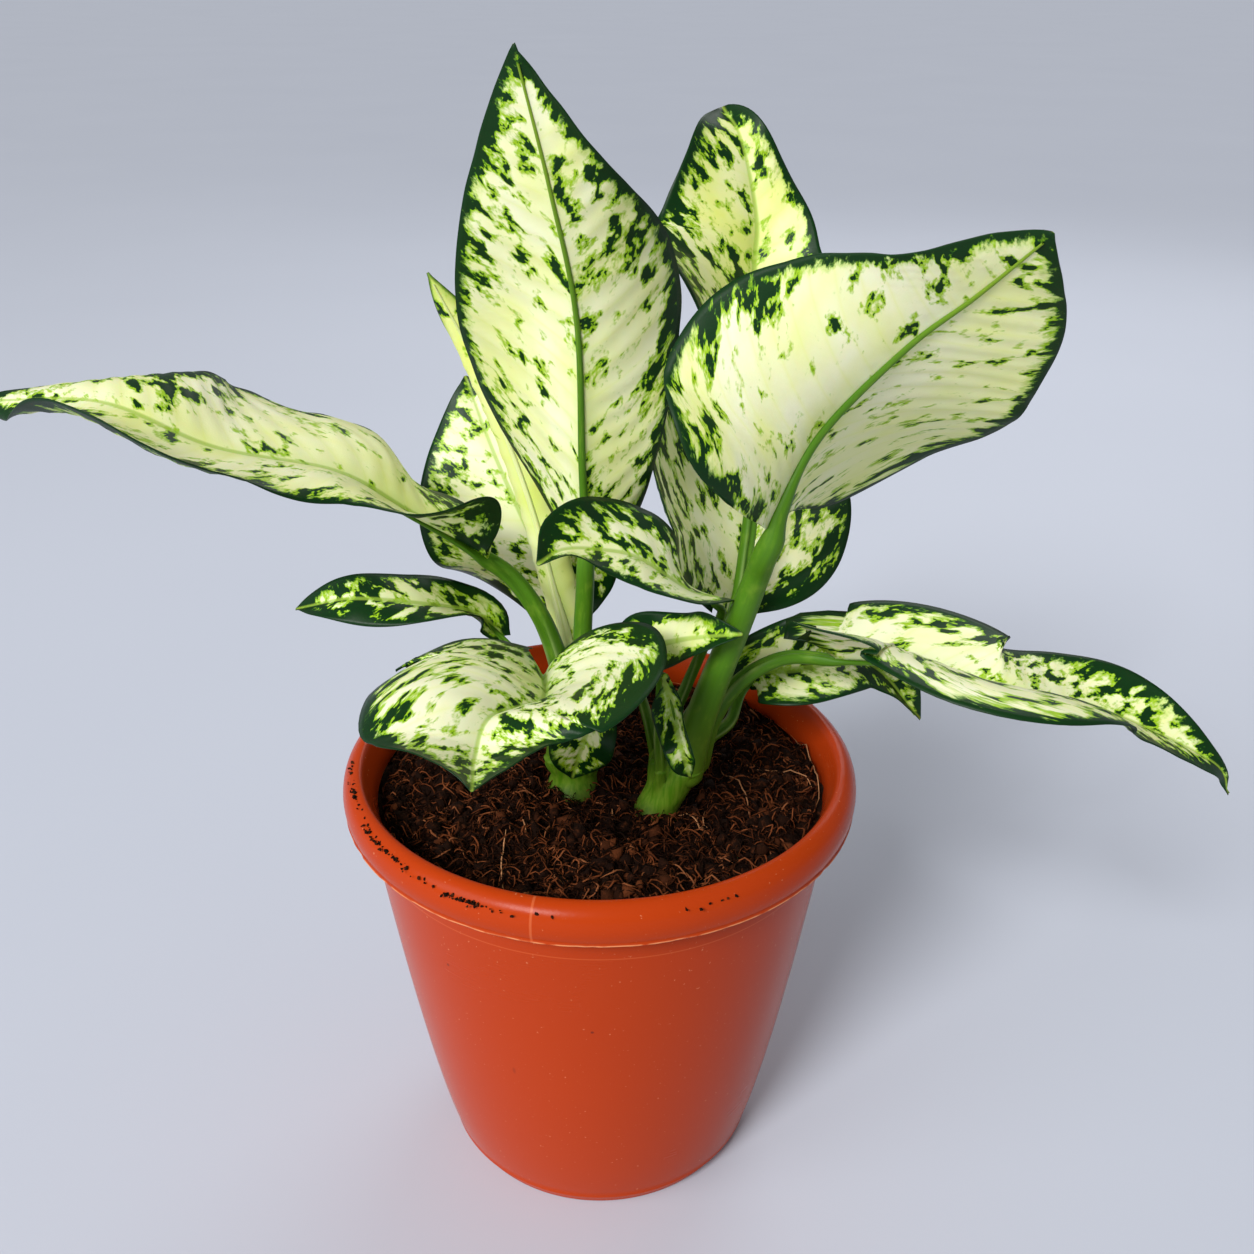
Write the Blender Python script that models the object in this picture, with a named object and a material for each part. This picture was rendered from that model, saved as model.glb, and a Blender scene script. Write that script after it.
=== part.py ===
"""A Chinese evergreen with two stems in a plain round plastic pot.

The frame: the origin is at the pot's axis on its underside, +Z is up and the front is on -Y.
Lengths in the tables are millimetres and angles are degrees.
"""

from dataclasses import dataclass
from math import cos, log, pi, radians, sin

import bpy
import numpy as np

MM = 0.001
GAP = 0.3

# Pot
POT_HEIGHT = 143
POT_BASE_RADIUS = 50
POT_WALL = 2
POT_FLOOR = 3
RIM_RADIUS = 80
RIM_DEPTH = 12.5
RIM_INNER_RADIUS = 73
BODY_TOP_RADIUS = 73.5
BODY_BOW = 0.72
POT_SEGMENTS = 48
FOOT_HEIGHT = 5
FOOT_STEP = 0.6

# Soil
SOIL_LEVEL = 131.5
SOIL_RELIEF = 1.2
SOIL_RINGS = 9
HOLE_DEPTH = 24

# Stems
STEM_DEPTH = 20
STEM_SEGMENTS = 24
STEM_RINGS = 5
SHEATHS = 7
SHEATH_RELIEF = 0.06

# Leaves
BLADE = 0.8
TIP_HALF_WIDTH = 0.5
OUTLINE = (0.018, 0.575, 0.925)
OUTLINE_PEAK = 0.38
KEEL_END = 0.92
WAVES = 1.5
STEP = 0.01


@dataclass
class Stem:
    """A cane of wrapped stalk bases: a round foot in the soil that widens to a flat top."""

    name: str
    foot: tuple
    foot_radius: float
    top: tuple
    top_radius: float


LEFT = Stem("stem_left", foot=(-8.5, -3.5), foot_radius=8.5, top=(-8, -2, 142), top_radius=10)
RIGHT = Stem("stem_right", foot=(17.5, -15.5), foot_radius=7, top=(22.5, -13, 146), top_radius=11)


@dataclass
class Leaf:
    """One leaf. Its stalk starts on the stem's top, at an offset from the middle. The midrib runs from
    the base of the blade to its tip. Face is where the upper side looks at each end: azimuth from -Y
    towards +X, then elevation. Left and right are seen from above with the tip ahead."""

    name: str
    stem: Stem
    start: tuple
    petiole: list
    midrib: list
    face: list
    width: tuple
    stalk: tuple
    left_fold: tuple = (10, 10)
    right_fold: tuple = (10, 10)
    curl: tuple = (0, 0)
    left_wave: tuple = (0, 0)
    right_wave: tuple = (0, 0)
    widest: float = 0.38
    lobe: float = 3
    rings: int = 14
    columns: int = 4


LEAVES = [
    Leaf(
        "leaf_tall",
        stem=LEFT,
        start=(6.3, 0),
        petiole=[(-3, -2, 160), (-5, -1.5, 182)],
        midrib=[
            (-3.5, -3.5, 211),
            (-4.5, -10, 240),
            (-5.5, -18.5, 283.5),
            (-11.5, -29.5, 318),
            (-18.5, -39.5, 349.5),
        ],
        face=[(166, 9), (162, 28)],
        width=(29, 38),
        stalk=(3.1, 2.6),
        left_fold=(41, 3),
        right_fold=(50, -9),
        curl=(31, -18),
        left_wave=(-6.5, -0.08),
        right_wave=(2.5, -0.06),
        widest=0.37,
        lobe=2,
    ),
    Leaf(
        "leaf_broad",
        stem=RIGHT,
        start=(3.4, -5.4),
        petiole=[(29.5, -18.5, 164.5), (37.5, -23.5, 198), (41.5, -28.5, 219)],
        midrib=[(43.5, -35.5, 233), (55, -32, 257), (73, -43, 283), (85, -57, 299), (93.5, -78.5, 316.5)],
        face=[(220, 39), (169, 24)],
        width=(56, 50),
        stalk=(4.2, 3.4),
        left_fold=(14, -17),
        right_fold=(-10, 6),
        curl=(-14, 56),
        left_wave=(1.5, 0.09),
        right_wave=(-4, 0.13),
        widest=0.2,
        lobe=-5,

    ),
    Leaf(
        "leaf_rear_right",
        stem=RIGHT,
        start=(-0.6, 2.2),
        petiole=[(26, -9.5, 158), (35, -4.5, 172), (41, 4, 188), (44, 10, 204), (47, 18, 230)],
        midrib=[
            (45, 20.5, 251),
            (45.5, 39, 283.5),
            (46, 44.5, 298),
            (41.5, 52.5, 318.5),
            (36.5, 64, 326.5),
        ],
        face=[(26, 9), (17, 52)],
        width=(38, 19),
        stalk=(2.4, 2.2),
        left_fold=(39, -2),
        right_fold=(13, 33),
        curl=(-5, 9),
        left_wave=(5.5, -0.09),
        right_wave=(-5.5, 0.2),
        lobe=4,
        widest=0.39,
    ),
    Leaf(
        "leaf_behind_broad",
        stem=RIGHT,
        start=(1.4, 7.6),
        petiole=[(28, -2, 156), (36, 7, 168)],
        midrib=[(41, 22.5, 179), (45.5, 29.5, 199), (47, 45, 224), (53.5, 64, 244.5)],
        face=[(14, 7), (1, 32)],
        width=(53, 33),
        stalk=(2.3, 2.2),
        left_fold=(30, 4),
        right_fold=(11, 7),
        curl=(53, 12),
        left_wave=(-2, -0),
        right_wave=(-1, -0.07),
        widest=0.41,
        lobe=-3,
    ),
    Leaf(
        "leaf_long_left",
        stem=LEFT,
        start=(-5.5, -4),
        petiole=[(-12, -4.5, 160), (-12.5, -2.5, 175), (-20, -5, 196)],
        midrib=[
            (-31.5, -6.5, 212.5),
            (-52, -16, 230),
            (-69.5, -23.5, 244.5),
            (-97.5, -34.5, 255),
            (-123.5, -35.5, 267),
            (-157, -26.5, 264.5),
        ],
        face=[(-50, 54), (-34, 57)],
        width=(29, 39),
        stalk=(3.1, 2.6),
        left_fold=(45, 4),
        right_fold=(21, -8),
        curl=(30, -64),
        left_wave=(16.5, 0.14),
        right_wave=(-11.5, 0.03),
        widest=0.41,
        lobe=-6,
        rings=16,
    ),
    Leaf(
        "leaf_small_left",
        stem=LEFT,
        start=(-4.6, 5.2),
        petiole=[(-15, 8, 152), (-24, 20, 164)],
        midrib=[
            (-32.5, 27.5, 169.5),
            (-40, 29.5, 177),
            (-57, 21, 184.5),
            (-78, 19, 187),
            (-97.5, 29, 178.5),
        ],
        face=[(5, 67), (0, 60)],
        width=(12, 12),
        stalk=(1.8, 1.4),
        left_fold=(38, -4),
        right_fold=(0, 15),
        curl=(-1, -8),
        left_wave=(3, -0.16),
        right_wave=(2, -0.06),
        widest=0.39,
        rings=10,
        columns=3,
        lobe=2,
    ),
    Leaf(
        "leaf_small_centre",
        stem=RIGHT,
        start=(-5.8, -1.6),
        petiole=[(20, -13.5, 158), (26.5, -11, 175), (31, -14, 191)],
        midrib=[
            (34.5, -21.5, 206),
            (25, -27.5, 211.5),
            (10.5, -29.5, 222),
            (0, -32, 225.5),
            (-9.5, -36.5, 227.5),
            (-16, -43.5, 226.5),
        ],
        face=[(-4, 75), (-1, 52)],
        width=(12, 19),
        stalk=(1.8, 1.3),
        left_fold=(16, 25),
        right_fold=(-39, 40),
        curl=(-3, 3),
        left_wave=(2.5, -0.12),
        right_wave=(2, -0.11),
        widest=0.47,
        lobe=2,
        rings=11,
        columns=3,
    ),
    Leaf(
        "leaf_rolled_spear",
        stem=LEFT,
        start=(-0.4, 0.4),
        petiole=[(-8, 3, 156)],
        midrib=[
            (-10, 7, 178.5),
            (-14.5, 11, 197),
            (-19, 15.5, 214.5),
            (-26, 22, 234.5),
            (-38, 31, 262),
            (-49, 30, 285),
        ],
        face=[(170, 5), (175, 15)],
        width=(13.5, 13.5),
        stalk=(2.6, 2.4),
        left_fold=(0, 0),
        right_fold=(0, 0),
        widest=0.4,
        lobe=2,
        rings=12,
        columns=6,
        curl=(150, 150),
    ),
    Leaf(
        "leaf_rear_left",
        stem=LEFT,
        start=(2.4, 6.2),
        petiole=[(-6, 8, 153), (-9, 23, 167)],
        midrib=[(-10, 35, 176.5), (-21, 28.5, 203), (-32, 37, 226), (-42, 51.5, 248.5)],
        face=[(-17, 8), (-4, 30)],
        width=(33, 27),
        stalk=(2.3, 2),
        left_fold=(-7, 15),
        right_fold=(5, 10),
        curl=(-13, -2),
        left_wave=(-3.5, -0.05),
        widest=0.4,
        lobe=5,
        rings=12,
        right_wave=(0, 0),
    ),
    Leaf(
        "leaf_front",
        stem=LEFT,
        start=(0.2, -6.2),
        petiole=[(-9, -10, 160), (-11.5, -15, 172)],
        midrib=[
            (-16.5, -16, 179.5),
            (-15.5, -47.5, 188.5),
            (-27.5, -68, 195.5),
            (-30.5, -81.5, 192.5),
            (-29.5, -101.5, 195.5),
        ],
        face=[(-10, 114), (16, 67)],
        width=(36, 46),
        stalk=(2.2, 2.1),
        left_fold=(59, 16),
        right_fold=(52, 24),
        curl=(-35, -92),
        left_wave=(2.5, -0.12),
        right_wave=(5, -0.24),
        widest=0.39,
        lobe=3,
        rings=16,
    ),
    Leaf(
        "leaf_bud_right",
        stem=RIGHT,
        start=(-5.4, 4.6),
        petiole=[(14.5, -6, 158), (11, -2.5, 170)],
        midrib=[(11, -5.5, 180), (22.5, -21.5, 193), (38.5, -34.5, 201.5)],
        face=[(1, 38), (0, 48)],
        width=(10, 9),
        stalk=(1.7, 1.3),
        left_fold=(31, 14),
        right_fold=(8, 14),
        curl=(10, -3),
        left_wave=(3.5, 0),
        right_wave=(0.5, 0.05),
        widest=0.34,
        lobe=7,
        rings=8,
        columns=3,
    ),
    Leaf(
        "leaf_tiny_hanging",
        stem=RIGHT,
        start=(-4.4, -7.2),
        petiole=[(17, -20.5, 160), (17, -23, 176), (17, -26, 186)],
        midrib=[(18, -29.5, 186.5), (20.5, -34, 176), (22.5, -43.5, 170), (25.5, -39, 158)],
        face=[(-12, 16), (-11, 16)],
        width=(5, 6),
        stalk=(1.4, 1),
        left_fold=(26, 25),
        right_fold=(14, 10),
        curl=(30, 2),
        left_wave=(-1, -0.01),
        right_wave=(2, -0.02),
        widest=0.42,
        lobe=-4,
        rings=8,
        columns=3,
    ),
    Leaf(
        "leaf_tiny_front",
        stem=LEFT,
        start=(5, -5.8),
        petiole=[(-1.5, -9, 156), (0, -11.5, 168.5)],
        midrib=[(0, -14.5, 172.5), (-4, -24, 164.5), (-8.5, -20.5, 146)],
        face=[(0, 30), (4, 29)],
        width=(9.5, 10),
        stalk=(1.6, 1.3),
        left_fold=(11, 9),
        right_fold=(0, 20),
        curl=(1, 6),
        left_wave=(-1, -0),
        right_wave=(1, 0.03),
        widest=0.52,
        lobe=2,
        rings=8,
        columns=3,
    ),
    Leaf(
        "leaf_long_right",
        stem=RIGHT,
        start=(7.8, 0.4),
        petiole=[(33.5, -12.5, 161), (41, -11, 173.5), (52, -9.5, 181), (62, -8, 182)],
        midrib=[
            (69.5, -11.5, 182.5),
            (90, -17.5, 183.5),
            (111, -36, 186),
            (143, -29, 174.5),
            (175, -35.5, 161),
            (181.5, -38.5, 151.5),
        ],
        face=[(1, 88), (17, 85)],
        width=(25, 35),
        stalk=(2.6, 2),
        left_fold=(14, 34),
        right_fold=(62, 4),
        curl=(-11, -43),
        left_wave=(4, 0.14),
        right_wave=(2.5, 0.2),
        widest=0.21,
        lobe=20,
        rings=16,
    ),
    Leaf(
        "leaf_low_right",
        stem=RIGHT,
        start=(6.4, 6),
        petiole=[(34, -6.5, 152), (41, -2.5, 156)],
        midrib=[(45.5, 8, 165), (60.5, 5, 169), (85, 14.5, 166), (102.5, 10, 148)],
        face=[(-1, 43), (9, 54)],
        width=(16, 14),
        stalk=(2, 1.6),
        left_fold=(11, 19),
        right_fold=(5, 40),
        curl=(1, 8),
        left_wave=(3, -0.1),
        right_wave=(3, -0.05),
        widest=0.34,
        rings=10,
        columns=3,
        lobe=4,
    ),
]


def unit(vectors):
    return vectors / np.maximum(np.linalg.norm(vectors, axis=-1, keepdims=True), 1e-9)


def direction(azimuth, elevation):
    """The direction at an azimuth from -Y towards +X and an elevation."""
    a, e = radians(azimuth), radians(elevation)
    return np.array([sin(a) * cos(e), -cos(a) * cos(e), sin(e)])


class Spine:
    """A smooth curve through the stalk's points and then the midrib's, measured along its length."""

    def __init__(self, stalk, midrib):
        points = np.array(stalk + midrib, float)
        ends = 2 * points[0] - points[1], 2 * points[-1] - points[-2]
        padded = np.vstack([ends[0], points, ends[1]])
        spans = len(points) - 1
        t = np.linspace(0, spans, 60 * spans + 1)
        i = np.minimum(t.astype(int), spans - 1)
        f = (t - i)[:, None]
        a, b, c, d = padded[i], padded[i + 1], padded[i + 2], padded[i + 3]
        square, cube = 2 * a - 5 * b + 4 * c - d, 3 * b - a - 3 * c + d
        self.points = 0.5 * (2 * b + (c - a) * f + square * f**2 + cube * f**3)
        steps = np.linalg.norm(np.diff(self.points, axis=0), axis=1)
        self.travel = np.concatenate([[0], np.cumsum(steps)])
        self.slopes = np.gradient(self.points, self.travel, axis=0)
        self.base = self.travel[60 * len(stalk)]
        self.blade = self.travel[-1] - self.base

    def at(self, s):
        """Points and tangents at distances along the spine."""
        point = np.stack([np.interp(s, self.travel, self.points[:, k]) for k in range(3)], -1)
        slope = np.stack([np.interp(s, self.travel, self.slopes[:, k]) for k in range(3)], -1)
        return point, unit(slope)


def outline(u, widest):
    """Half the blade's width, as a share of its widest, at share u of its length."""
    start, rise, fall = OUTLINE
    u = np.clip(u, 0, 1) ** (log(OUTLINE_PEAK) / log(widest))
    peak = (rise - fall * start) / (rise + fall)
    top = (peak + start) ** rise * (1 - peak) ** fall
    return (u + start) ** rise * (1 - u) ** fall / top


def facing(leaf, u, tangent):
    """The way the upper side looks, square to the spine."""
    low, high = (direction(*angles) for angles in leaf.face)
    u = np.clip(u, 0, 1)[..., None]
    mixed = (1 - u) * low + u * high
    return unit(mixed - tangent * (mixed * tangent).sum(-1, keepdims=True))


def upper_side(leaf, spine, u, v):
    """Points on the blade's upper side: u runs from its base to its tip, and v from -1 to 1 across it."""
    right = v > 0
    across = np.abs(v)
    share = outline(u, leaf.widest)
    half = np.where(right, leaf.width[1], leaf.width[0]) * share
    half = np.maximum(half, TIP_HALF_WIDTH)
    setback = leaf.lobe * (1 - u) ** 6 * across**1.3
    travel = spine.base + spine.blade * u - setback
    point, tangent = spine.at(travel)
    normal = facing(leaf, (travel - spine.base) / spine.blade, tangent)
    side = np.cross(tangent, normal)
    first = np.where(right, leaf.right_fold[0], leaf.left_fold[0])
    last = np.where(right, leaf.right_fold[1], leaf.left_fold[1])
    fold = np.radians(first + (last - first) * u)
    bend = np.radians(np.where(right, leaf.curl[1], leaf.curl[0])) * across * share
    reach = np.sinc(bend / 2 / pi) * across * half
    height = np.where(right, leaf.right_wave[0], leaf.left_wave[0])
    phase = np.where(right, leaf.right_wave[1], leaf.left_wave[1])
    swell = across**2 * np.sqrt(np.sin(pi * np.clip(u, 0, 1)))
    ripple = height * swell * np.sin(2 * pi * (WAVES * u + phase))
    out = reach * np.cos(fold + bend / 2) * np.sign(v)
    lift = reach * np.sin(fold + bend / 2) + ripple
    return point + side * out[..., None] + normal * lift[..., None]


def blade_rings(leaf, spine):
    """Closed rings of points round the blade, each with its upper side first."""
    u = np.linspace(0, 1, leaf.rings) ** 0.9
    keel_half = leaf.stalk[1] * (1 - u) + 0.3
    half = np.maximum(max(leaf.width) * outline(u, leaf.widest), TIP_HALF_WIDTH)
    inner = np.minimum(keel_half / half, 0.3)
    steps = np.linspace(0, 1, leaf.columns)
    right = inner[:, None] + (1 - inner[:, None]) * steps
    v = np.hstack([-right[:, ::-1], np.zeros((leaf.rings, 1)), right])
    u = np.repeat(u[:, None], v.shape[1], axis=1)
    top = upper_side(leaf, spine, u, v)
    ahead = upper_side(leaf, spine, np.minimum(u + STEP, 1), v)
    behind = upper_side(leaf, spine, np.maximum(u - STEP, 0), v)
    rightward = upper_side(leaf, spine, u, np.minimum(v + STEP, 1))
    leftward = upper_side(leaf, spine, u, np.maximum(v - STEP, -1))
    normal = unit(np.cross(rightward - leftward, ahead - behind))
    depth = np.full(v.shape, float(BLADE))
    middle = leaf.columns
    keel = (2 * leaf.stalk[1] - BLADE) * np.clip(1 - u[:, middle] / KEEL_END, 0, 1)
    depth[:, middle] += keel
    bottom = top - normal * depth[..., None]
    return np.concatenate([top, bottom[:, ::-1]], axis=1)


def stalk_rings(leaf, spine):
    """Closed rings round the stalk from the stem's top to the blade, matched to the blade's points."""
    count = 2 * (2 * leaf.columns + 1)
    rings = max(4, round(spine.base / 9))
    travel = np.linspace(0, spine.base - 1.2, rings)
    point, tangent = spine.at(travel)
    normal = facing(leaf, np.zeros(rings), tangent)
    side = np.cross(tangent, normal)
    angle = pi - (np.arange(count) + 0.5) * 2 * pi / count
    radius = np.linspace(leaf.stalk[0], leaf.stalk[1], rings)[:, None, None]
    drop = leaf.stalk[1] * (travel / spine.base) ** 2
    centre = point - normal * drop[:, None]
    ring = side[:, None] * np.cos(angle)[:, None] + normal[:, None] * np.sin(angle)[:, None]
    points = centre[:, None] + radius * ring
    points[0, :, 2] = leaf.stem.top[2] + GAP
    return points


def loft(rings, columns):
    """Triangles that join the rings and close both ends. Both sides of a blade are split alike."""
    count = rings.shape[1]
    half = count // 2
    faces = []
    for i in range(len(rings) - 1):
        for k in range(count):
            a, b = i * count + k, i * count + (k + 1) % count
            c, d = b + count, a + count
            if k < half:
                faces += [(a, b, c), (a, c, d)]
            else:
                faces += [(a, b, d), (b, c, d)]
    first, last = 0, (len(rings) - 1) * count
    for k in range(half - 1):
        far = count - 1 - k
        faces += [(first + k, first + far, first + k + 1), (first + k + 1, first + far, first + far - 1)]
        faces += [(last + k, last + k + 1, last + far), (last + k + 1, last + far - 1, last + far)]
    return rings.reshape(-1, 3), faces


def add_mesh(name, points, faces, colour, roughness):
    """An object from points in millimetres, with its own plain material."""
    mesh = bpy.data.meshes.new(name)
    mesh.from_pydata((np.asarray(points) * MM).tolist(), [], faces)
    mesh.validate()
    material = bpy.data.materials.new(name)
    material.use_nodes = True
    shader = material.node_tree.nodes["Principled BSDF"]
    shader.inputs["Base Color"].default_value = (*colour, 1)
    shader.inputs["Roughness"].default_value = roughness
    material.diffuse_color = (*colour, 1)
    mesh.materials.append(material)
    part = bpy.data.objects.new(name, mesh)
    bpy.context.scene.collection.objects.link(part)
    return part


def turned(name, profile, segments, colour, roughness):
    """A solid of revolution about +Z. The profile's ends lie on the axis."""
    angles = np.arange(segments) * 2 * pi / segments
    points = [(0, 0, profile[0][1]), (0, 0, profile[-1][1])]
    for radius, z in profile[1:-1]:
        points += [(radius * cos(a), radius * sin(a), z) for a in angles]
    faces = []
    for k in range(segments):
        n = (k + 1) % segments
        faces.append((0, 2 + n, 2 + k))
        for row in range(len(profile) - 3):
            a, b = 2 + row * segments + k, 2 + row * segments + n
            faces.append((a, b, b + segments, a + segments))
        last = 2 + (len(profile) - 3) * segments
        faces.append((1, last + k, last + n))
    return add_mesh(name, points, faces, colour, roughness)


def body_radius(z):
    share = min(max(z / (POT_HEIGHT - RIM_DEPTH), 0), 1)
    return POT_BASE_RADIUS + (BODY_TOP_RADIUS - POT_BASE_RADIUS) * share**BODY_BOW


def build_pot():
    rim_low = POT_HEIGHT - RIM_DEPTH
    outside = [(POT_BASE_RADIUS - 1, 0), (POT_BASE_RADIUS, 1), (body_radius(FOOT_HEIGHT), FOOT_HEIGHT)]
    outside += [(body_radius(FOOT_HEIGHT) - FOOT_STEP + 0.2, FOOT_HEIGHT + 0.6)]
    outside += [(body_radius(z), z) for z in (20, 40, 60, 80, 100, 118, rim_low - 1)]
    rim = [
        (RIM_RADIUS - 1.4, rim_low),
        (RIM_RADIUS - 0.4, rim_low + 1.5),
        (RIM_RADIUS, rim_low + 5.5),
        (RIM_RADIUS - 1.2, rim_low + 9.5),
        (RIM_RADIUS - 3.6, POT_HEIGHT - 0.5),
        (RIM_INNER_RADIUS + 1.4, POT_HEIGHT),
        (RIM_INNER_RADIUS, POT_HEIGHT - 2),
    ]
    inside = [(body_radius(z) - POT_WALL, z) for z in (rim_low - 2, 100, 70, 40, 15, POT_FLOOR)]
    profile = [(0, 0), *outside, *rim, *inside, (0, POT_FLOOR)]
    return turned("pot", profile, POT_SEGMENTS, (0.6, 0.12, 0.04), 0.4)


def soil_height(radius, angle, edge):
    """The height of the soil's uneven top."""
    share = radius / edge
    bumps = sin(3 * angle + 1) * cos(4.3 * share * pi) + 0.8 * sin(7 * angle + 9 * share)
    bumps += 0.6 * cos(5 * angle - 6 * share)
    return SOIL_LEVEL + SOIL_RELIEF * (0.6 * bumps * share + 0.8 * (1 - share**2))


def build_soil():
    """The soil fills the pot and has a plain hole for each stem."""
    segments = POT_SEGMENTS
    spare = POT_WALL + 2 * GAP
    edge = body_radius(SOIL_LEVEL) - spare
    walls = [(body_radius(z) - spare, z) for z in (POT_FLOOR + GAP, 15, 40, 70, 100)]
    angles = np.arange(segments) * 2 * pi / segments
    rows = [[(r * cos(a), r * sin(a), z) for a in angles] for r, z in walls]
    for k in range(SOIL_RINGS):
        radius = edge * (1 - k / SOIL_RINGS)
        rows.append([(radius * cos(a), radius * sin(a), soil_height(radius, a, edge)) for a in angles])
    points = [(0, 0, POT_FLOOR + GAP), (0, 0, soil_height(0, 0, edge))]
    points += [point for row in rows for point in row]
    faces = []
    for k in range(segments):
        n = (k + 1) % segments
        faces.append((0, 2 + n, 2 + k))
        for row in range(len(rows) - 1):
            a, b = 2 + row * segments + k, 2 + row * segments + n
            faces += [(a, b, b + segments), (a, b + segments, a + segments)]
        last = 2 + (len(rows) - 1) * segments
        faces.append((1, last + k, last + n))
    soil = add_mesh("soil", points, faces, (0.05, 0.02, 0.012), 0.95)
    for stem in (LEFT, RIGHT):
        hole = build_hole(stem)
        hole.hide_render = True
        hole.display_type = "WIRE"
        cut = soil.modifiers.new(hole.name, "BOOLEAN")
        cut.object = hole
        cut.operation = "DIFFERENCE"
        cut.solver = "EXACT"
    return soil


def stacked(name, rings, colour):
    """A closed solid through rings of like counts, from the lowest up."""
    count = len(rings[0])
    points = [point for ring in rings for point in ring]
    last = (len(rings) - 1) * count
    faces = [tuple(range(count - 1, -1, -1)), tuple(range(last, last + count))]
    for i in range(len(rings) - 1):
        for k in range(count):
            a, b = i * count + k, i * count + (k + 1) % count
            faces.append((a, b, b + count, a + count))
    return add_mesh(name, points, faces, colour, 0.5)


def circle(centre, radius, z, relief=0):
    angles = np.arange(STEM_SEGMENTS) * 2 * pi / STEM_SEGMENTS
    radii = radius * (1 - relief * np.abs(np.sin(angles * SHEATHS / 2)))
    return [(centre[0] + r * cos(a), centre[1] + r * sin(a), z) for a, r in zip(angles, radii)]


def build_hole(stem):
    low, high = SOIL_LEVEL - HOLE_DEPTH, SOIL_LEVEL + 20
    radius = stem.foot_radius + GAP + 0.2
    rings = [circle(stem.foot, radius, z) for z in (low, high)]
    return stacked(f"hole_{stem.name}", rings, (0.1, 0.1, 0.1))


def build_stem(stem):
    foot, top = np.array(stem.foot), np.array(stem.top)
    low = SOIL_LEVEL + 2.5
    rings = [circle(foot, stem.foot_radius, z) for z in (SOIL_LEVEL - STEM_DEPTH, low)]
    for share in np.linspace(0, 1, STEM_RINGS)[1:]:
        centre = foot + (top[:2] - foot) * share
        radius = stem.foot_radius + (stem.top_radius - stem.foot_radius) * sin(share * pi / 2)
        rings.append(circle(centre, radius, low + (top[2] - low) * share, SHEATH_RELIEF * sin(share * pi)))
    return stacked(stem.name, rings, (0.3, 0.4, 0.12))


def build_leaf(leaf):
    x, y, z = leaf.stem.top
    start = (x + leaf.start[0], y + leaf.start[1], z + GAP)
    spine = Spine([start, *leaf.petiole], leaf.midrib)
    rings = np.concatenate([stalk_rings(leaf, spine), blade_rings(leaf, spine)])
    points, faces = loft(rings, leaf.columns)
    return add_mesh(leaf.name, points, faces, (0.45, 0.6, 0.2), 0.35)


def main():
    for old in list(bpy.data.objects):
        bpy.data.objects.remove(old, do_unlink=True)
    build_pot()
    build_soil()
    build_stem(LEFT)
    build_stem(RIGHT)
    for leaf in LEAVES:
        build_leaf(leaf)


main()
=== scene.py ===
"""Looks of a Chinese evergreen in a plastic pot: leaves, stalks, stems, soil, pot and a plain stage.

Shapes are worked out in millimetres, in the frame of the loaded model: the origin is on the pot's axis
at its underside, +Z is up and the front is on -Y.
"""

from dataclasses import dataclass
from math import cos, log, pi, radians, sin

import bmesh
import bpy
import numpy as np
from mathutils import Euler, Matrix, Vector


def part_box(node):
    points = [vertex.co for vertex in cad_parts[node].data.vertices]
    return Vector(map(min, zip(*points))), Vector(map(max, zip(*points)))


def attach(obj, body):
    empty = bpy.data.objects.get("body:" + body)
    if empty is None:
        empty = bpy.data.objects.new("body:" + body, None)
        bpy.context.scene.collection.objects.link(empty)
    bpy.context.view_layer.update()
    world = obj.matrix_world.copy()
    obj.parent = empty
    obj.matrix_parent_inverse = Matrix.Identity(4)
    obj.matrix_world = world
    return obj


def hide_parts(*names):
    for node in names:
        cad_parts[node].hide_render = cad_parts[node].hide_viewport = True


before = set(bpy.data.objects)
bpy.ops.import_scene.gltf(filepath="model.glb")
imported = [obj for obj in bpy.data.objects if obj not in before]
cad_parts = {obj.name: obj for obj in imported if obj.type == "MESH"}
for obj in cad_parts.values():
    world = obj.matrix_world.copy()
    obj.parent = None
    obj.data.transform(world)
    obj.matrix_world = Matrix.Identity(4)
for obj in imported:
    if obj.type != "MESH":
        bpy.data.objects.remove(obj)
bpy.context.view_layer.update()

bl_info = {
    "name": "Potted Chinese Evergreen",
    "version": (1, 0, 0),
    "blender": (4, 5, 0),
    "location": "View3D > Sidebar > Plant",
    "description": "Builds a variegated foliage plant in a plastic pot, with its soil and a plain stage",
    "category": "Add Mesh",
}

MM = 0.001

# Pot, as in the loaded model
POT_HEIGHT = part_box("pot")[1].z / MM
RIM_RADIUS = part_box("pot")[1].x / MM
POT_BASE_RADIUS = 50
POT_WALL = 2
POT_FLOOR = 3
RIM_DEPTH = 12.5
RIM_LOW = POT_HEIGHT - RIM_DEPTH
RIM_INNER_RADIUS = 73
BODY_TOP_RADIUS = 73.5
BODY_BOW = 0.72
FOOT_HEIGHT = 5
FOOT_TOP = 8
FOOT_STEP = 0.45
MOULD_RING_DROP = 10
WELD_AZIMUTH = -13.5

# Soil, how far its loose pieces reach, and in metres the heights between which painted shade darkens its
# hollows
SOIL_LEVEL = 131.5
SOIL_BOTTOM = 100
SOIL_INSET = 0.1
FIBRE_REACH = 69
FIBRE_LIMIT = 68.2
CRUMB_REACH = 67.5
HOLLOW_SHADE = (0.1315, 0.1285)

# Canes
CANE_ROOT = 12
CROWN_RISE = 2.5
BLUNT = 1.6

# Blades
TIP_HALF_WIDTH = 0.35
OUTLINE = (0.018, 0.575, 0.925)
OUTLINE_PEAK = 0.38
WAVES = 1.5
ROW_LENGTH = 1.5
COLUMN_WIDTH = 1.9
VEIN_LEAN = 0.45
VEIN_CURVE = 0.006
GROOVE = 0.45
STEP = 0.01
FLESH = {"Subsurface_Weight": 0.1, "Subsurface_Scale": 0.002}

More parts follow.
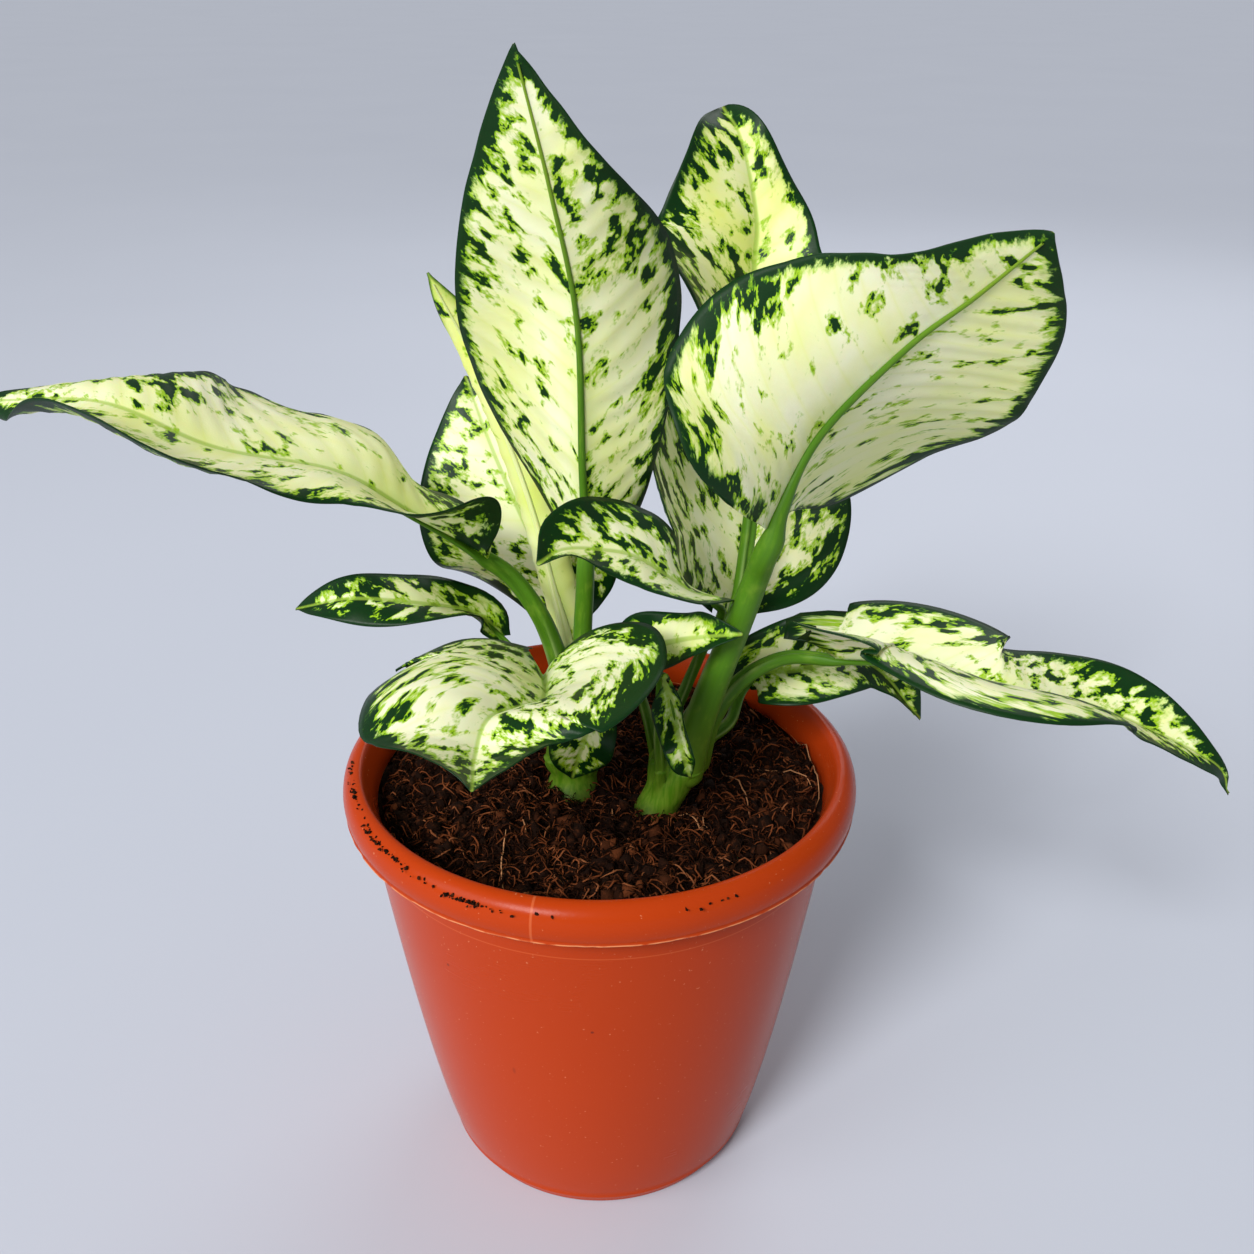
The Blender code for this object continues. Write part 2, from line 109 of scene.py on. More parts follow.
# Stalks
STALK_GAP = 0.3
STALK_ROOT = 8
RIB_END = 0.97
RIB_DROP = 0.5
RIB_TIP = 0.3
EASE = 6
FAR_FROM_EDGE = 9.0

# Counts of points and rings
LEAST_ROWS = 36
LEAST_COLUMNS = 9
STALK_SIDES = 28
STEM_SIDES = 72
CANE_RINGS = 24
POT_SIDES = 240
INNER_AFTER_TOP = 8
SOIL_SIDES = 300
SOIL_RINGS = 56
FIBRE_POINTS = 6
LONG_FIBRE_POINTS = 16

# Camera and lights, in metres, millimetres of lens and degrees
CAMERA_PLACE = (0, -0.3616, 0.3679)
HEADING = 1.276
TILT = 26.65
ROLL = 0.43
LENS = 38.76
SENSOR_WIDTH = 36
MIDDLE = (0, 0, 0.15)
FLOOR_REACH = 60


@dataclass
class Stem:
    """A cane of wrapped stalk bases: a round foot in the soil that widens to its top."""

    name: str
    foot: tuple
    foot_radius: float
    top: tuple


LEFT = Stem("stem_left", foot=(-8.5, -3.5), foot_radius=8.5, top=(-8, -2, 142))
RIGHT = Stem("stem_right", foot=(17.5, -15.5), foot_radius=7, top=(22.5, -13, 146))


@dataclass
class Leaf:
    """One leaf. Its stalk starts on the stem's top, at an offset from the middle. The midrib runs from
    the base of the blade to its tip. Face is where the upper side looks at each end: azimuth from -Y
    towards +X, then elevation. Width, fold, curl, wave and green are given for the left half and then
    the right one, seen from above with the tip ahead. Fold is an angle at the base and one at the tip,
    and wave a height and a phase. Green is how much of the blade is dark green, and tint is how
    yellow-green its pale part is."""

    name: str
    stem: Stem
    start: tuple
    petiole: list
    midrib: list
    face: list
    width: tuple
    stalk: tuple
    fold: tuple
    curl: tuple
    wave: tuple = ((0, 0), (0, 0))
    widest: float = 0.39
    lobe: float = 2
    green: tuple = (0.5, 0.5)
    tint: float = 0.15
    margin: float = 2.4
    sheath: float = 1


LEAVES = [
    Leaf(
        "leaf_tall", stem=LEFT, start=(6.3, 0), petiole=[(-3, -2, 160), (-5, -1.5, 182)],
        midrib=[
            (-3.5, -3.5, 211), (-4.5, -10, 240), (-5.5, -18.5, 283.5), (-11.5, -29.5, 318),
            (-18.5, -39.5, 349.5),
        ],
        face=[(166, 9), (162, 28)], width=(29, 38), stalk=(3.1, 2.6), fold=((41, 3), (50, -9)),
        curl=(31, -18), wave=((-6.5, -0.08), (2.5, -0.06)), widest=0.37, green=(0.52, 0.5), tint=0.3,
        margin=2.2,
    ),
    Leaf(
        "leaf_broad", stem=RIGHT, start=(3.4, -5.4),
        petiole=[(29.5, -18.5, 164.5), (37.5, -23.5, 198), (41.5, -28.5, 219)],
        midrib=[(43.5, -35.5, 233), (55, -32, 257), (73, -43, 283), (85, -57, 299), (93.5, -78.5, 316.5)],
        face=[(220, 39), (169, 24)], width=(56, 50), stalk=(4.2, 3.4), fold=((14, -17), (-10, 6)),
        curl=(-14, 56), wave=((1.5, 0.09), (-4, 0.13)), widest=0.2, lobe=-5, green=(0.42, 0.34), tint=0.28,
    ),
    Leaf(
        "leaf_rear_right", stem=RIGHT, start=(-0.6, 2.2),
        petiole=[(26, -9.5, 158), (35, -4.5, 172), (41, 4, 188), (44, 10, 204), (47, 18, 230)],
        midrib=[
            (45, 20.5, 251), (45.5, 39, 283.5), (46, 44.5, 298), (41.5, 52.5, 318.5), (36.5, 64, 326.5),
        ],
        face=[(26, 9), (17, 52)], width=(38, 19), stalk=(2.4, 2.2), fold=((39, -2), (13, 33)), curl=(-5, 9),
        wave=((5.5, -0.09), (-5.5, 0.2)), lobe=4, green=(0.6, 0.4), tint=0.55, margin=3,
    ),
    Leaf(
        "leaf_behind_broad", stem=RIGHT, start=(1.4, 7.6), petiole=[(28, -2, 156), (36, 7, 168)],
        midrib=[(41, 22.5, 179), (45.5, 29.5, 199), (47, 45, 224), (53.5, 64, 244.5)],
        face=[(14, 7), (1, 32)], width=(53, 33), stalk=(2.3, 2.2), fold=((30, 4), (11, 7)), curl=(53, 12),
        wave=((-2, 0), (-1, -0.07)), widest=0.41, lobe=-3, green=(0.62, 0.62), margin=3,
    ),
    Leaf(
        "leaf_long_left", stem=LEFT, start=(-5.5, -4),
        petiole=[(-12, -4.5, 160), (-12.5, -2.5, 175), (-20, -5, 196)],
        midrib=[
            (-31.5, -6.5, 212.5), (-52, -16, 230), (-69.5, -23.5, 244.5), (-97.5, -34.5, 255),
            (-123.5, -35.5, 267), (-157, -26.5, 264.5),
        ],
        face=[(-50, 54), (-34, 57)], width=(29, 39), stalk=(3.1, 2.6), fold=((45, 4), (21, -8)),
        curl=(30, -64), wave=((16.5, 0.14), (-11.5, 0.03)), widest=0.41, lobe=-6, green=(0.54, 0.54),
        tint=0.35, margin=3.4,
    ),
    Leaf(
        "leaf_small_left", stem=LEFT, start=(-4.6, 5.2), petiole=[(-15, 8, 152), (-24, 20, 164)],
        midrib=[
            (-32.5, 27.5, 169.5), (-40, 29.5, 177), (-57, 21, 184.5), (-78, 19, 187), (-97.5, 29, 178.5),
        ],
        face=[(5, 67), (0, 60)], width=(12, 12), stalk=(1.8, 1.4), fold=((38, -4), (0, 15)), curl=(-1, -8),
        wave=((3, -0.16), (2, -0.06)), green=(0.68, 0.6), tint=0.2,
    ),
    Leaf(
        "leaf_small_centre", stem=RIGHT, start=(-5.8, -1.6),
        petiole=[(20, -13.5, 158), (26.5, -11, 175), (31, -14, 191)],
        midrib=[
            (34.5, -21.5, 206), (25, -27.5, 211.5), (10.5, -29.5, 222), (0, -32, 225.5),
            (-9.5, -36.5, 227.5), (-16, -43.5, 226.5),
        ],
        face=[(-4, 75), (-1, 52)], width=(12, 19), stalk=(1.8, 1.3), fold=((16, 25), (-39, 40)),
        curl=(-3, 3), wave=((2.5, -0.12), (2, -0.11)), widest=0.47, green=(0.5, 0.62), tint=0.1,
    ),
    Leaf(
        "leaf_rolled_spear", stem=LEFT, start=(-0.4, 0.4), petiole=[(-8, 3, 156)],
        midrib=[
            (-10, 7, 178.5), (-14.5, 11, 197), (-19, 15.5, 214.5), (-26, 22, 234.5), (-38, 31, 262),
            (-49, 30, 285),
        ],
        face=[(170, 5), (175, 15)], width=(13.5, 13.5), stalk=(2.6, 2.4), fold=((0, 0), (0, 0)),
        curl=(150, 150), widest=0.4, green=(0, 0), tint=0.75, margin=0.2, sheath=2.7,
    ),
    Leaf(
        "leaf_rear_left", stem=LEFT, start=(2.4, 6.2), petiole=[(-6, 8, 153), (-9, 23, 167)],
        midrib=[(-10, 35, 176.5), (-21, 28.5, 203), (-32, 37, 226), (-42, 51.5, 248.5)],
        face=[(-17, 8), (-4, 30)], width=(33, 27), stalk=(2.3, 2), fold=((-7, 15), (5, 10)), curl=(-13, -2),
        wave=((-3.5, -0.05), (0, 0)), widest=0.4, lobe=5, margin=2.6,
    ),
    Leaf(
        "leaf_front", stem=LEFT, start=(0.2, -6.2), petiole=[(-9, -10, 160), (-11.5, -15, 172)],
        midrib=[
            (-16.5, -16, 179.5), (-15.5, -47.5, 188.5), (-27.5, -68, 195.5), (-30.5, -81.5, 192.5),
            (-29.5, -101.5, 195.5),
        ],
        face=[(-10, 114), (16, 67)], width=(36, 46), stalk=(2.2, 2.1), fold=((59, 16), (52, 24)),
        curl=(-35, -92), wave=((2.5, -0.12), (5, -0.24)), lobe=3, green=(0.6, 0.62), tint=0, margin=3.4,
    ),
    Leaf(
        "leaf_bud_right", stem=RIGHT, start=(-5.4, 4.6), petiole=[(14.5, -6, 158), (11, -2.5, 170)],
        midrib=[(11, -5.5, 180), (22.5, -21.5, 193), (38.5, -34.5, 201.5)], face=[(1, 38), (0, 48)],
        width=(10, 9), stalk=(1.7, 1.3), fold=((31, 14), (8, 14)), curl=(10, -3),
        wave=((3.5, 0), (0.5, 0.05)), widest=0.34, lobe=7, green=(0.5, 0.4), tint=0.5, margin=1.4,
    ),
    Leaf(
        "leaf_tiny_hanging", stem=RIGHT, start=(-4.4, -7.2),
        petiole=[(17, -20.5, 160), (17, -23, 176), (17, -26, 186)],
        midrib=[(18, -29.5, 186.5), (20.5, -34, 176), (22.5, -43.5, 170), (25.5, -39, 158)],
        face=[(-12, 16), (-11, 16)], width=(5, 6), stalk=(1.4, 1), fold=((26, 25), (14, 10)), curl=(30, 2),
        wave=((-1, -0.01), (2, -0.02)), widest=0.42, lobe=-4, green=(0.2, 0.25), tint=0, margin=0.7,
    ),
    Leaf(
        "leaf_tiny_front", stem=LEFT, start=(5, -5.8), petiole=[(-1.5, -9, 156), (0, -11.5, 168.5)],
        midrib=[(0, -14.5, 172.5), (-4, -24, 164.5), (-8.5, -20.5, 146)], face=[(0, 30), (4, 29)],
        width=(9.5, 10), stalk=(1.6, 1.3), fold=((11, 9), (0, 20)), curl=(1, 6), wave=((-1, 0), (1, 0.03)),
        widest=0.52, green=(0.4, 0.4), tint=0.2, margin=1.2,
    ),
    Leaf(
        "leaf_long_right", stem=RIGHT, start=(7.8, 0.4),
        petiole=[(33.5, -12.5, 161), (41, -11, 173.5), (52, -9.5, 181), (62, -8, 182)],
        midrib=[
            (69.5, -11.5, 182.5), (90, -17.5, 183.5), (111, -36, 186), (143, -29, 174.5), (175, -35.5, 161),
            (181.5, -38.5, 151.5),
        ],
        face=[(1, 88), (17, 85)], width=(25, 35), stalk=(2.6, 2), fold=((14, 34), (62, 4)), curl=(-11, -43),
        wave=((4, 0.14), (2.5, 0.2)), widest=0.21, lobe=14, green=(0.5, 0.62), margin=3,
    ),
    Leaf(
        "leaf_low_right", stem=RIGHT, start=(6.4, 6), petiole=[(34, -6.5, 152), (41, -2.5, 156)],
        midrib=[(45.5, 8, 165), (60.5, 5, 169), (85, 14.5, 166), (102.5, 10, 148)],
        face=[(-1, 43), (9, 54)], width=(16, 14), stalk=(2, 1.6), fold=((11, 19), (5, 40)), curl=(1, 8),
        wave=((3, -0.1), (3, -0.05)), widest=0.34, lobe=4, green=(0.55, 0.55), tint=0.25, margin=2.2,
    ),
]

# Long fibres: a path of (x, y), a radius and a shade
LONG_FIBRES = [
    ([(-28, -31), (-28.5, -45), (-27, -59)], 0.26, 1.5),
    ([(-23.7, -24.3), (-21.8, -32.5)], 0.22, 1.2),
    ([(50.3, 5.1), (61, 1), (68.3, -8.3)], 0.24, 1.25),
    ([(38.5, 2.8), (44, -10), (45.4, -23.9)], 0.24, 1.2),
    ([(64.2, 33.2), (68.2, 10), (68, -10.6), (65.1, -19.8)], 0.24, 1.3),
    ([(20.3, -4.5), (21, -17), (20.1, -28.8)], 0.2, 0.9),
    ([(22.7, -19.4), (28, -23), (31.1, -29.9)], 0.24, 1.3),
    ([(32, -16.8), (31, -23), (32.1, -28.9)], 0.22, 1.2),
    ([(3.5, -15.5), (3.7, -23.5)], 0.22, 1.2),
    ([(-17.5, -3.1), (-14, -8), (-13.1, -14.2)], 0.22, 1.1),
    ([(-8.2, -12.7), (-3, -4), (0.5, 1.4)], 0.22, 1.2),
]

# Crumbs on the rim: azimuth from -Y towards +X, radius, height and how many
RIM_CRUMBS = [
    (-84, 77, 142.4, 8), (-78, 77, 142.4, 9), (-73, 76.5, 142.6, 10), (-68, 76.8, 142.5, 9),
    (-60, 77.6, 142, 12), (-54, 78.2, 141.6, 14), (-48, 78.4, 141.4, 14), (-44, 78.6, 141.2, 9),
    (-38, 79, 140.6, 10), (-31, 79.2, 140, 16), (-28, 79.2, 140, 22), (-26, 79.2, 139.8, 24),
    (-24, 79.2, 139.8, 14), (-20, 79.2, 139.8, 8), (-12, 79, 140.6, 4), (18, 79, 140.6, 3),
    (22, 79, 140.6, 3), (26, 79, 140.6, 3),
]

def settings():
    return bpy.context.scene.plant


def length_setting(name, description, default, low, high, precision):
    limits = {"min": low, "max": high, "precision": precision}
    return bpy.props.FloatProperty(
        name=name, description=description, default=default, unit="LENGTH", **limits
    )


def count_setting(name, description, default):
    return bpy.props.IntProperty(name=name, description=description, default=default, min=0)


def colour_setting(name, description, default):
    limits = {"size": 3, "min": 0, "max": 1}
    return bpy.props.FloatVectorProperty(
        name=name, description=description, default=default, subtype="COLOR", **limits
    )


class PlantSettings(bpy.types.PropertyGroup):
    """Sizes and colours that a user would change."""

    blade: length_setting("Blade thickness", "Thickness of a leaf's blade", 0.0006, 0.0003, 0.002, 4)
    vein_spacing: length_setting(
        "Vein spacing", "Distance between side veins along the midrib", 0.0072, 0.003, 0.02, 4
    )
    vein_relief: length_setting(
        "Vein relief", "How far the blade swells between its side veins", 0.00045, 0, 0.001, 5
    )
    fibres: count_setting("Coir fibres", "Number of loose fibres on the soil", 6400)
    clumps: count_setting("Clumps", "Number of small clumps on the soil", 2600)
    cream: colour_setting("Cream", "Palest colour of the blades", (0.93, 0.92, 0.63))
    lemon: colour_setting("Lemon", "Deeper cream of the blades", (0.79, 0.85, 0.22))
    lime: colour_setting("Lime", "Yellow-green round the flecks", (0.32, 0.54, 0.010))
    leaf_green: colour_setting("Leaf green", "Edge of the flecks", (0.045, 0.17, 0.006))
    dark_green: colour_setting("Dark green", "Flecks and margins of the blades", (0.003, 0.030, 0.004))
    stalk_green: colour_setting("Stalk green", "Stalks and midribs", (0.085, 0.225, 0.005))
    pot_colour: colour_setting("Pot", "Colour of the plastic", (0.45, 0.043, 0.003))
    soil_colour: colour_setting("Soil", "Colour of the damp coir", (0.009, 0.003, 0.0012))
    fibre_colour: colour_setting("Fibres", "Colour of the reddish fibres", (0.21, 0.055, 0.016))
    floor_colour: colour_setting("Floor", "Colour of the floor", (0.57, 0.60, 0.68))


def both_ways(operation):
    """An arithmetic operator and its reflected form, each of which adds a Math node."""
    return (
        lambda self, other: self.math(operation, self, other),
        lambda self, other: self.math(operation, other, self),
    )


class Value:
    """A shader socket that takes part in arithmetic."""

    __add__, __radd__ = both_ways("ADD")
    __sub__, __rsub__ = both_ways("SUBTRACT")
    __mul__, __rmul__ = both_ways("MULTIPLY")
    __truediv__, __rtruediv__ = both_ways("DIVIDE")
    __pow__, __rpow__ = both_ways("POWER")

    def __init__(self, tree, socket):
        self.tree = tree
        self.socket = socket

    def math(self, operation, *values):
        return self.tree.add("ShaderNodeMath", {"operation": operation}, dict(enumerate(values)))

    def exp(self):
        return self.math("EXPONENT", self)

    def wave(self):
        return self.math("SINE", self)

    def size(self):
        return self.math("ABSOLUTE", self)

    def step(self, low, high):
        """0 below low, 1 above high and smooth between. Low may be above high."""
        ends = {"Value": self, "From Min": min(low, high), "From Max": max(low, high)}
        share = self.tree.add("ShaderNodeMapRange", {"interpolation_type": "SMOOTHSTEP"}, ends)
        return 1 - share if low > high else share


class Finish:
    """A material being made, with its nodes."""

    def __init__(self, name, roughness=0.5, **fixed):
        self.material = bpy.data.materials.new(name)
        self.material.use_nodes = True
        self.nodes = self.material.node_tree.nodes
        self.links = self.material.node_tree.links
        self.shader = self.nodes["Principled BSDF"]
        self.shader.inputs["Roughness"].default_value = roughness
        for socket, value in fixed.items():
            self.shader.inputs[socket.replace("_", " ")].default_value = value

    def add(self, kind, options=None, values=None, output=0):
        """A node of a kind, with its options set first and then its sockets, as one of its outputs."""
        node = self.nodes.new(kind)
        for name, value in (options or {}).items():
            setattr(node, name, value)
        for key, value in (values or {}).items():
            if isinstance(value, Value):
                self.links.new(value.socket, node.inputs[key])
            else:
                node.inputs[key].default_value = value
        return Value(self, node.outputs[output])

    def attribute(self, name):
        return self.add("ShaderNodeAttribute", {"attribute_name": name}, output="Fac")

    def place(self):
        """The surface's own position, as a vector in metres."""
        return self.add("ShaderNodeTexCoord", output="Object")

    def axis(self, vector, name):
        return self.add("ShaderNodeSeparateXYZ", values={0: vector}, output=name)

    def vector(self, x, y, z):
        return self.add("ShaderNodeCombineXYZ", values={0: x, 1: y, 2: z})

    def stretched(self, vector, factors):
        return self.add("ShaderNodeVectorMath", {"operation": "MULTIPLY"}, {0: vector, 1: factors})

    def turned(self, vector, azimuth):
        """A vector in metres turned so that an azimuth from -Y towards +X looks along -Y."""
        turn = {"Vector": vector, "Angle": radians(-azimuth)}
        return self.add("ShaderNodeVectorRotate", {"rotation_type": "Z_AXIS"}, turn)

    def uneven_cells(self, vector, scale, output):
        return self.add("ShaderNodeTexVoronoi", values={"Vector": vector, "Scale": scale}, output=output)

    def cells(self, vector, scale):
        """A random share for each cell of a surface that is split into small uneven cells."""
        return self.axis(self.uneven_cells(vector, scale, "Color"), "X")

    def dots(self, vector, scale, radius, share):
        """1 on scattered dots, with a radius as a share of their spacing, and 0 between them."""
        near = self.uneven_cells(vector, scale, "Distance").step(radius, radius * 0.6)
        return near * self.cells(vector, scale).step(1 - share, 1.001 - share)

    def noise(self, vector, scale, detail=2, roughness=0.5, distortion=0):
        values = {"Vector": vector, "Scale": scale, "Detail": detail}
        values |= {"Roughness": roughness, "Distortion": distortion}
        return self.add("ShaderNodeTexNoise", values=values)

    def mix(self, share, first, second):
        """A colour between two, each a colour or a socket."""
        a, b = (c if isinstance(c, Value) else (*c, 1) for c in (first, second))
        return self.add("ShaderNodeMix", {"data_type": "RGBA"}, {0: share, 6: a, 7: b}, 2)

    def layered(self, colour, *layers):
        """A colour with layers over it, each of which is a share and a colour."""
        for share, cover in layers:
            colour = self.mix(share, colour, cover)
        return colour

    def feed(self, socket, value):
        self.links.new(value.socket, self.shader.inputs[socket])

    def surface(self, colour, height, distance, strength, roughness=None):
        """The material with its colour, its bumps, whose full distance is in metres, and its roughness."""
        bumps = {"Strength": strength, "Distance": distance, "Height": height}
        self.feed("Base Color", colour)
        self.feed("Normal", self.add("ShaderNodeBump", values=bumps))
        if roughness:
            self.feed("Roughness", roughness)
        return self.material


def once(name, make):
    """The material of a name, made where it is first needed."""
    return bpy.data.materials.get(name) or make()


def unit(vectors):
    return vectors / np.maximum(np.linalg.norm(vectors, axis=-1, keepdims=True), 1e-9)


def smooth(x, low, high):
    """0 below low, 1 above high and smooth between."""
    t = np.clip((x - low) / (high - low), 0, 1)
    return t * t * (3 - 2 * t)


def lattice(cells, seed):
    """A fixed random number from -1 to 1 for each whole-numbered cell."""
    mixed = (cells.astype(np.int64) * np.array([374761393, 668265263, 1274126177])).sum(-1)
    mixed = (mixed + seed * 974634777) & 0xFFFFFFFF
    mixed = ((mixed ^ (mixed >> 13)) * 1103515245) & 0xFFFFFFFF
    mixed = ((mixed ^ (mixed >> 16)) * 40503) & 0xFFFFFFFF
    return (mixed & 0xFFFF) / 32767.5 - 1


def rough(points, size, seed, octaves=1):
    """Smooth random heights from about -1 to 1 at points, with bumps of a size and finer ones."""
    total = np.zeros(points.shape[:-1])
    for octave in range(octaves):
        place = points / (size * 0.5**octave)
        cell = np.floor(place)
        part = place - cell
        part = part * part * (3 - 2 * part)
        for corner in np.ndindex(2, 2, 2):
            weight = np.prod(np.where(corner, part, 1 - part), axis=-1)
            total += 0.5**octave * weight * lattice(cell + corner, seed + octave)
    return total


def direction(azimuth, elevation):
    """The direction at an azimuth from -Y towards +X and an elevation."""
    a, e = radians(azimuth), radians(elevation)
    return np.array([sin(a) * cos(e), -cos(a) * cos(e), sin(e)])


class Spine:
    """A smooth curve through the stalk's points and then the midrib's, measured along its length."""

    def __init__(self, stalk, midrib):
        points = np.array(stalk + midrib, float)
        ends = 2 * points[0] - points[1], 2 * points[-1] - points[-2]
        padded = np.vstack([ends[0], points, ends[1]])
        spans = len(points) - 1
        t = np.linspace(0, spans, 60 * spans + 1)
        i = np.minimum(t.astype(int), spans - 1)
        f = (t - i)[:, None]
        a, b, c, d = padded[i], padded[i + 1], padded[i + 2], padded[i + 3]
        square, cube = 2 * a - 5 * b + 4 * c - d, 3 * b - a - 3 * c + d
        self.points = 0.5 * (2 * b + (c - a) * f + square * f**2 + cube * f**3)
        steps = np.linalg.norm(np.diff(self.points, axis=0), axis=1)
        self.travel = np.concatenate([[0], np.cumsum(steps)])
        self.slopes = np.gradient(self.points, self.travel, axis=0)
        self.base = self.travel[60 * len(stalk)]
        self.blade = self.travel[-1] - self.base

    def at(self, s):
        """Points and tangents at distances along the spine."""
        point = np.stack([np.interp(s, self.travel, self.points[:, k]) for k in range(3)], -1)
        slope = np.stack([np.interp(s, self.travel, self.slopes[:, k]) for k in range(3)], -1)
        return point, unit(slope)


def outline(u, widest):
    """Half the blade's width, as a share of its widest, at share u of its length."""
    start, rise, fall = OUTLINE
    u = np.clip(u, 0, 1) ** (log(OUTLINE_PEAK) / log(widest))
    peak = (rise - fall * start) / (rise + fall)
    top = (peak + start) ** rise * (1 - peak) ** fall
    return (u + start) ** rise * (1 - u) ** fall / top


def facing(leaf, u, tangent):
    """The way the upper side looks, square to the spine."""
    low, high = (direction(*angles) for angles in leaf.face)
    u = np.clip(u, 0, 1)[..., None]
    mixed = (1 - u) * low + u * high
    return unit(mixed - tangent * (mixed * tangent).sum(-1, keepdims=True))


def by_side(v, pair):
    """The first of a pair of values left of the midrib, and the second one right of it."""
    return np.where(v > 0, pair[1], pair[0])


def half_width(leaf, u, v):
    return np.maximum(by_side(v, leaf.width) * outline(u, leaf.widest), TIP_HALF_WIDTH)


def setback(leaf, u, v):
    """How far the blade's base reaches back beside its midrib."""
    return leaf.lobe * (1 - u) ** 6 * np.abs(v) ** 1.3


def upper_side(leaf, spine, u, v):
    """Points on the blade's upper side: u runs from its base to its tip, and v from -1 to 1 across it."""
    across = np.abs(v)
    travel = spine.base + spine.blade * u - setback(leaf, u, v)
    point, tangent = spine.at(travel)
    normal = facing(leaf, (travel - spine.base) / spine.blade, tangent)
    side = np.cross(tangent, normal)
    first, last = (by_side(v, pair) for pair in zip(*leaf.fold))
    fold = np.radians(first + (last - first) * u)
    bend = np.radians(by_side(v, leaf.curl)) * across * outline(u, leaf.widest)
    reach = np.sinc(bend / 2 / pi) * across * half_width(leaf, u, v)
    height, phase = (by_side(v, pair) for pair in zip(*leaf.wave))
    swell = across**2 * np.sqrt(np.sin(pi * np.clip(u, 0, 1)))
    ripple = height * swell * np.sin(2 * pi * (WAVES * u + phase))
    out = reach * np.cos(fold + bend / 2) * np.sign(v)
    lift = reach * np.sin(fold + bend / 2) + ripple
    return point + side * out[..., None] + normal * lift[..., None]


def linked(name, data):
    """An object of the scene that holds the data."""
    thing = bpy.data.objects.new(name, data)
    bpy.context.scene.collection.objects.link(thing)
    return thing


def add_piece(name, points, faces, materials, picks=None, measures=None):
    """A mesh piece from points in millimetres, shaded smooth, with measures for its finish."""
    mesh = bpy.data.meshes.new(name)
    faces = faces.tolist() if isinstance(faces, np.ndarray) else faces
    mesh.from_pydata((np.asarray(points) * MM).tolist(), [], faces)
    for material in materials:
        mesh.materials.append(material)
    if picks is not None:
        mesh.polygons.foreach_set("material_index", np.asarray(picks, np.int32))
    for key, values in (measures or {}).items():
        layer = mesh.attributes.new(key, "FLOAT", "POINT")
        layer.data.foreach_set("value", np.asarray(values, np.float32).ravel())
    mesh.shade_smooth()
    mesh.update()
    return linked(name, mesh)


def settle(piece, slot, *nodes):
    """The piece moves with the part and stands for the model's nodes. Its slot is not used."""
    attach(piece, "root")
    if nodes:
        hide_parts(*nodes)
    return piece


def grid_faces(rows, columns, wrapped=False, start=0):
    """Four-sided faces over a grid of points. A wrapped grid joins its last column to its first."""
    i, k = np.meshgrid(np.arange(rows - 1), np.arange(columns - (not wrapped)), indexing="ij")
    a = i * columns + k
    b = i * columns + (k + 1) % columns
    return (np.stack([a, b, b + columns, a + columns], -1) + start).reshape(-1, 4)


def circle(count):
    """Evenly spaced angles all round, and the direction of each."""
    angles = np.linspace(0, 2 * pi, count, endpoint=False)
    return angles, np.stack([np.cos(angles), np.sin(angles)], -1)


def level(flat, height):
    """Places at (x, y) points that all have one height."""
    return np.column_stack([flat, np.full(len(flat), height)])


def crossways(leaf, spine, u, v):
    """Points of the blade's upper side and the directions square to it."""
    top = upper_side(leaf, spine, u, v)
    ahead = upper_side(leaf, spine, np.minimum(u + STEP, 1), v)
    behind = upper_side(leaf, spine, np.maximum(u - STEP, 0), v)
    rightward = upper_side(leaf, spine, u, np.minimum(v + STEP, 1))
    leftward = upper_side(leaf, spine, u, np.maximum(v - STEP, -1))
    return top, unit(np.cross(rightward - leftward, ahead - behind))


def flat_place(leaf, spine, u, v):
    """Places on the blade as if it lay flat: across it and along it."""
    return np.stack([v * half_width(leaf, u, v), spine.blade * u - setback(leaf, u, v)], -1)


def rim_distance(leaf, spine, u, v):
    """How far each place is from the blade's outline."""
    steps = np.linspace(0, 1, 3 * len(u) - 2)
    rim = np.concatenate([flat_place(leaf, spine, steps, np.full(len(steps), side)) for side in (-1, 1)])
    places = flat_place(leaf, spine, u, v)
    return np.stack([np.linalg.norm(row[:, None] - rim, axis=-1).min(axis=1) for row in places])


def blade_places(leaf, spine):
    """The grid of the blade: shares along and across it, and what its finish and its relief follow."""
    rows = max(LEAST_ROWS, round(spine.blade / ROW_LENGTH))
    columns = max(LEAST_COLUMNS, round(max(leaf.width) / COLUMN_WIDTH))
    steps = np.linspace(0, 1, columns + 1) ** 1.15
    v = np.concatenate([-steps[:0:-1], steps])
    u, v = np.meshgrid(np.linspace(0, 1, rows), v, indexing="ij")
    across = v * half_width(leaf, u, v)
    lean = np.abs(across)
    vein = spine.blade * u - VEIN_LEAN * lean - VEIN_CURVE * lean**2
    return u, v, across, vein, rim_distance(leaf, spine, u, v)


def blade_lift(place, seed, u, across, vein, edge):
    """The relief of the upper side: sunken at the midrib, swollen between side veins and uneven."""
    tools = settings()
    phase = vein / (tools.vein_spacing / MM) + 0.45 * rough(place, 16, seed)
    relief = tools.vein_relief / MM * smooth(edge, 0, 5) * smooth(np.abs(across), 1, 5)
    lift = relief * (np.abs(np.sin(pi * phase)) ** 0.7 - 0.7)
    lift -= GROOVE * np.exp(-((across / (1.1 + 1.1 * (1 - u))) ** 2)) * (1 - 0.8 * u)
    lift += 0.35 * rough(place, 22, seed + 31) * smooth(np.abs(across), 1, 8)
    return lift + 0.45 * rough(place, 9, seed + 57) * np.exp(-edge / 2.5) * smooth(u, 0, 0.1)


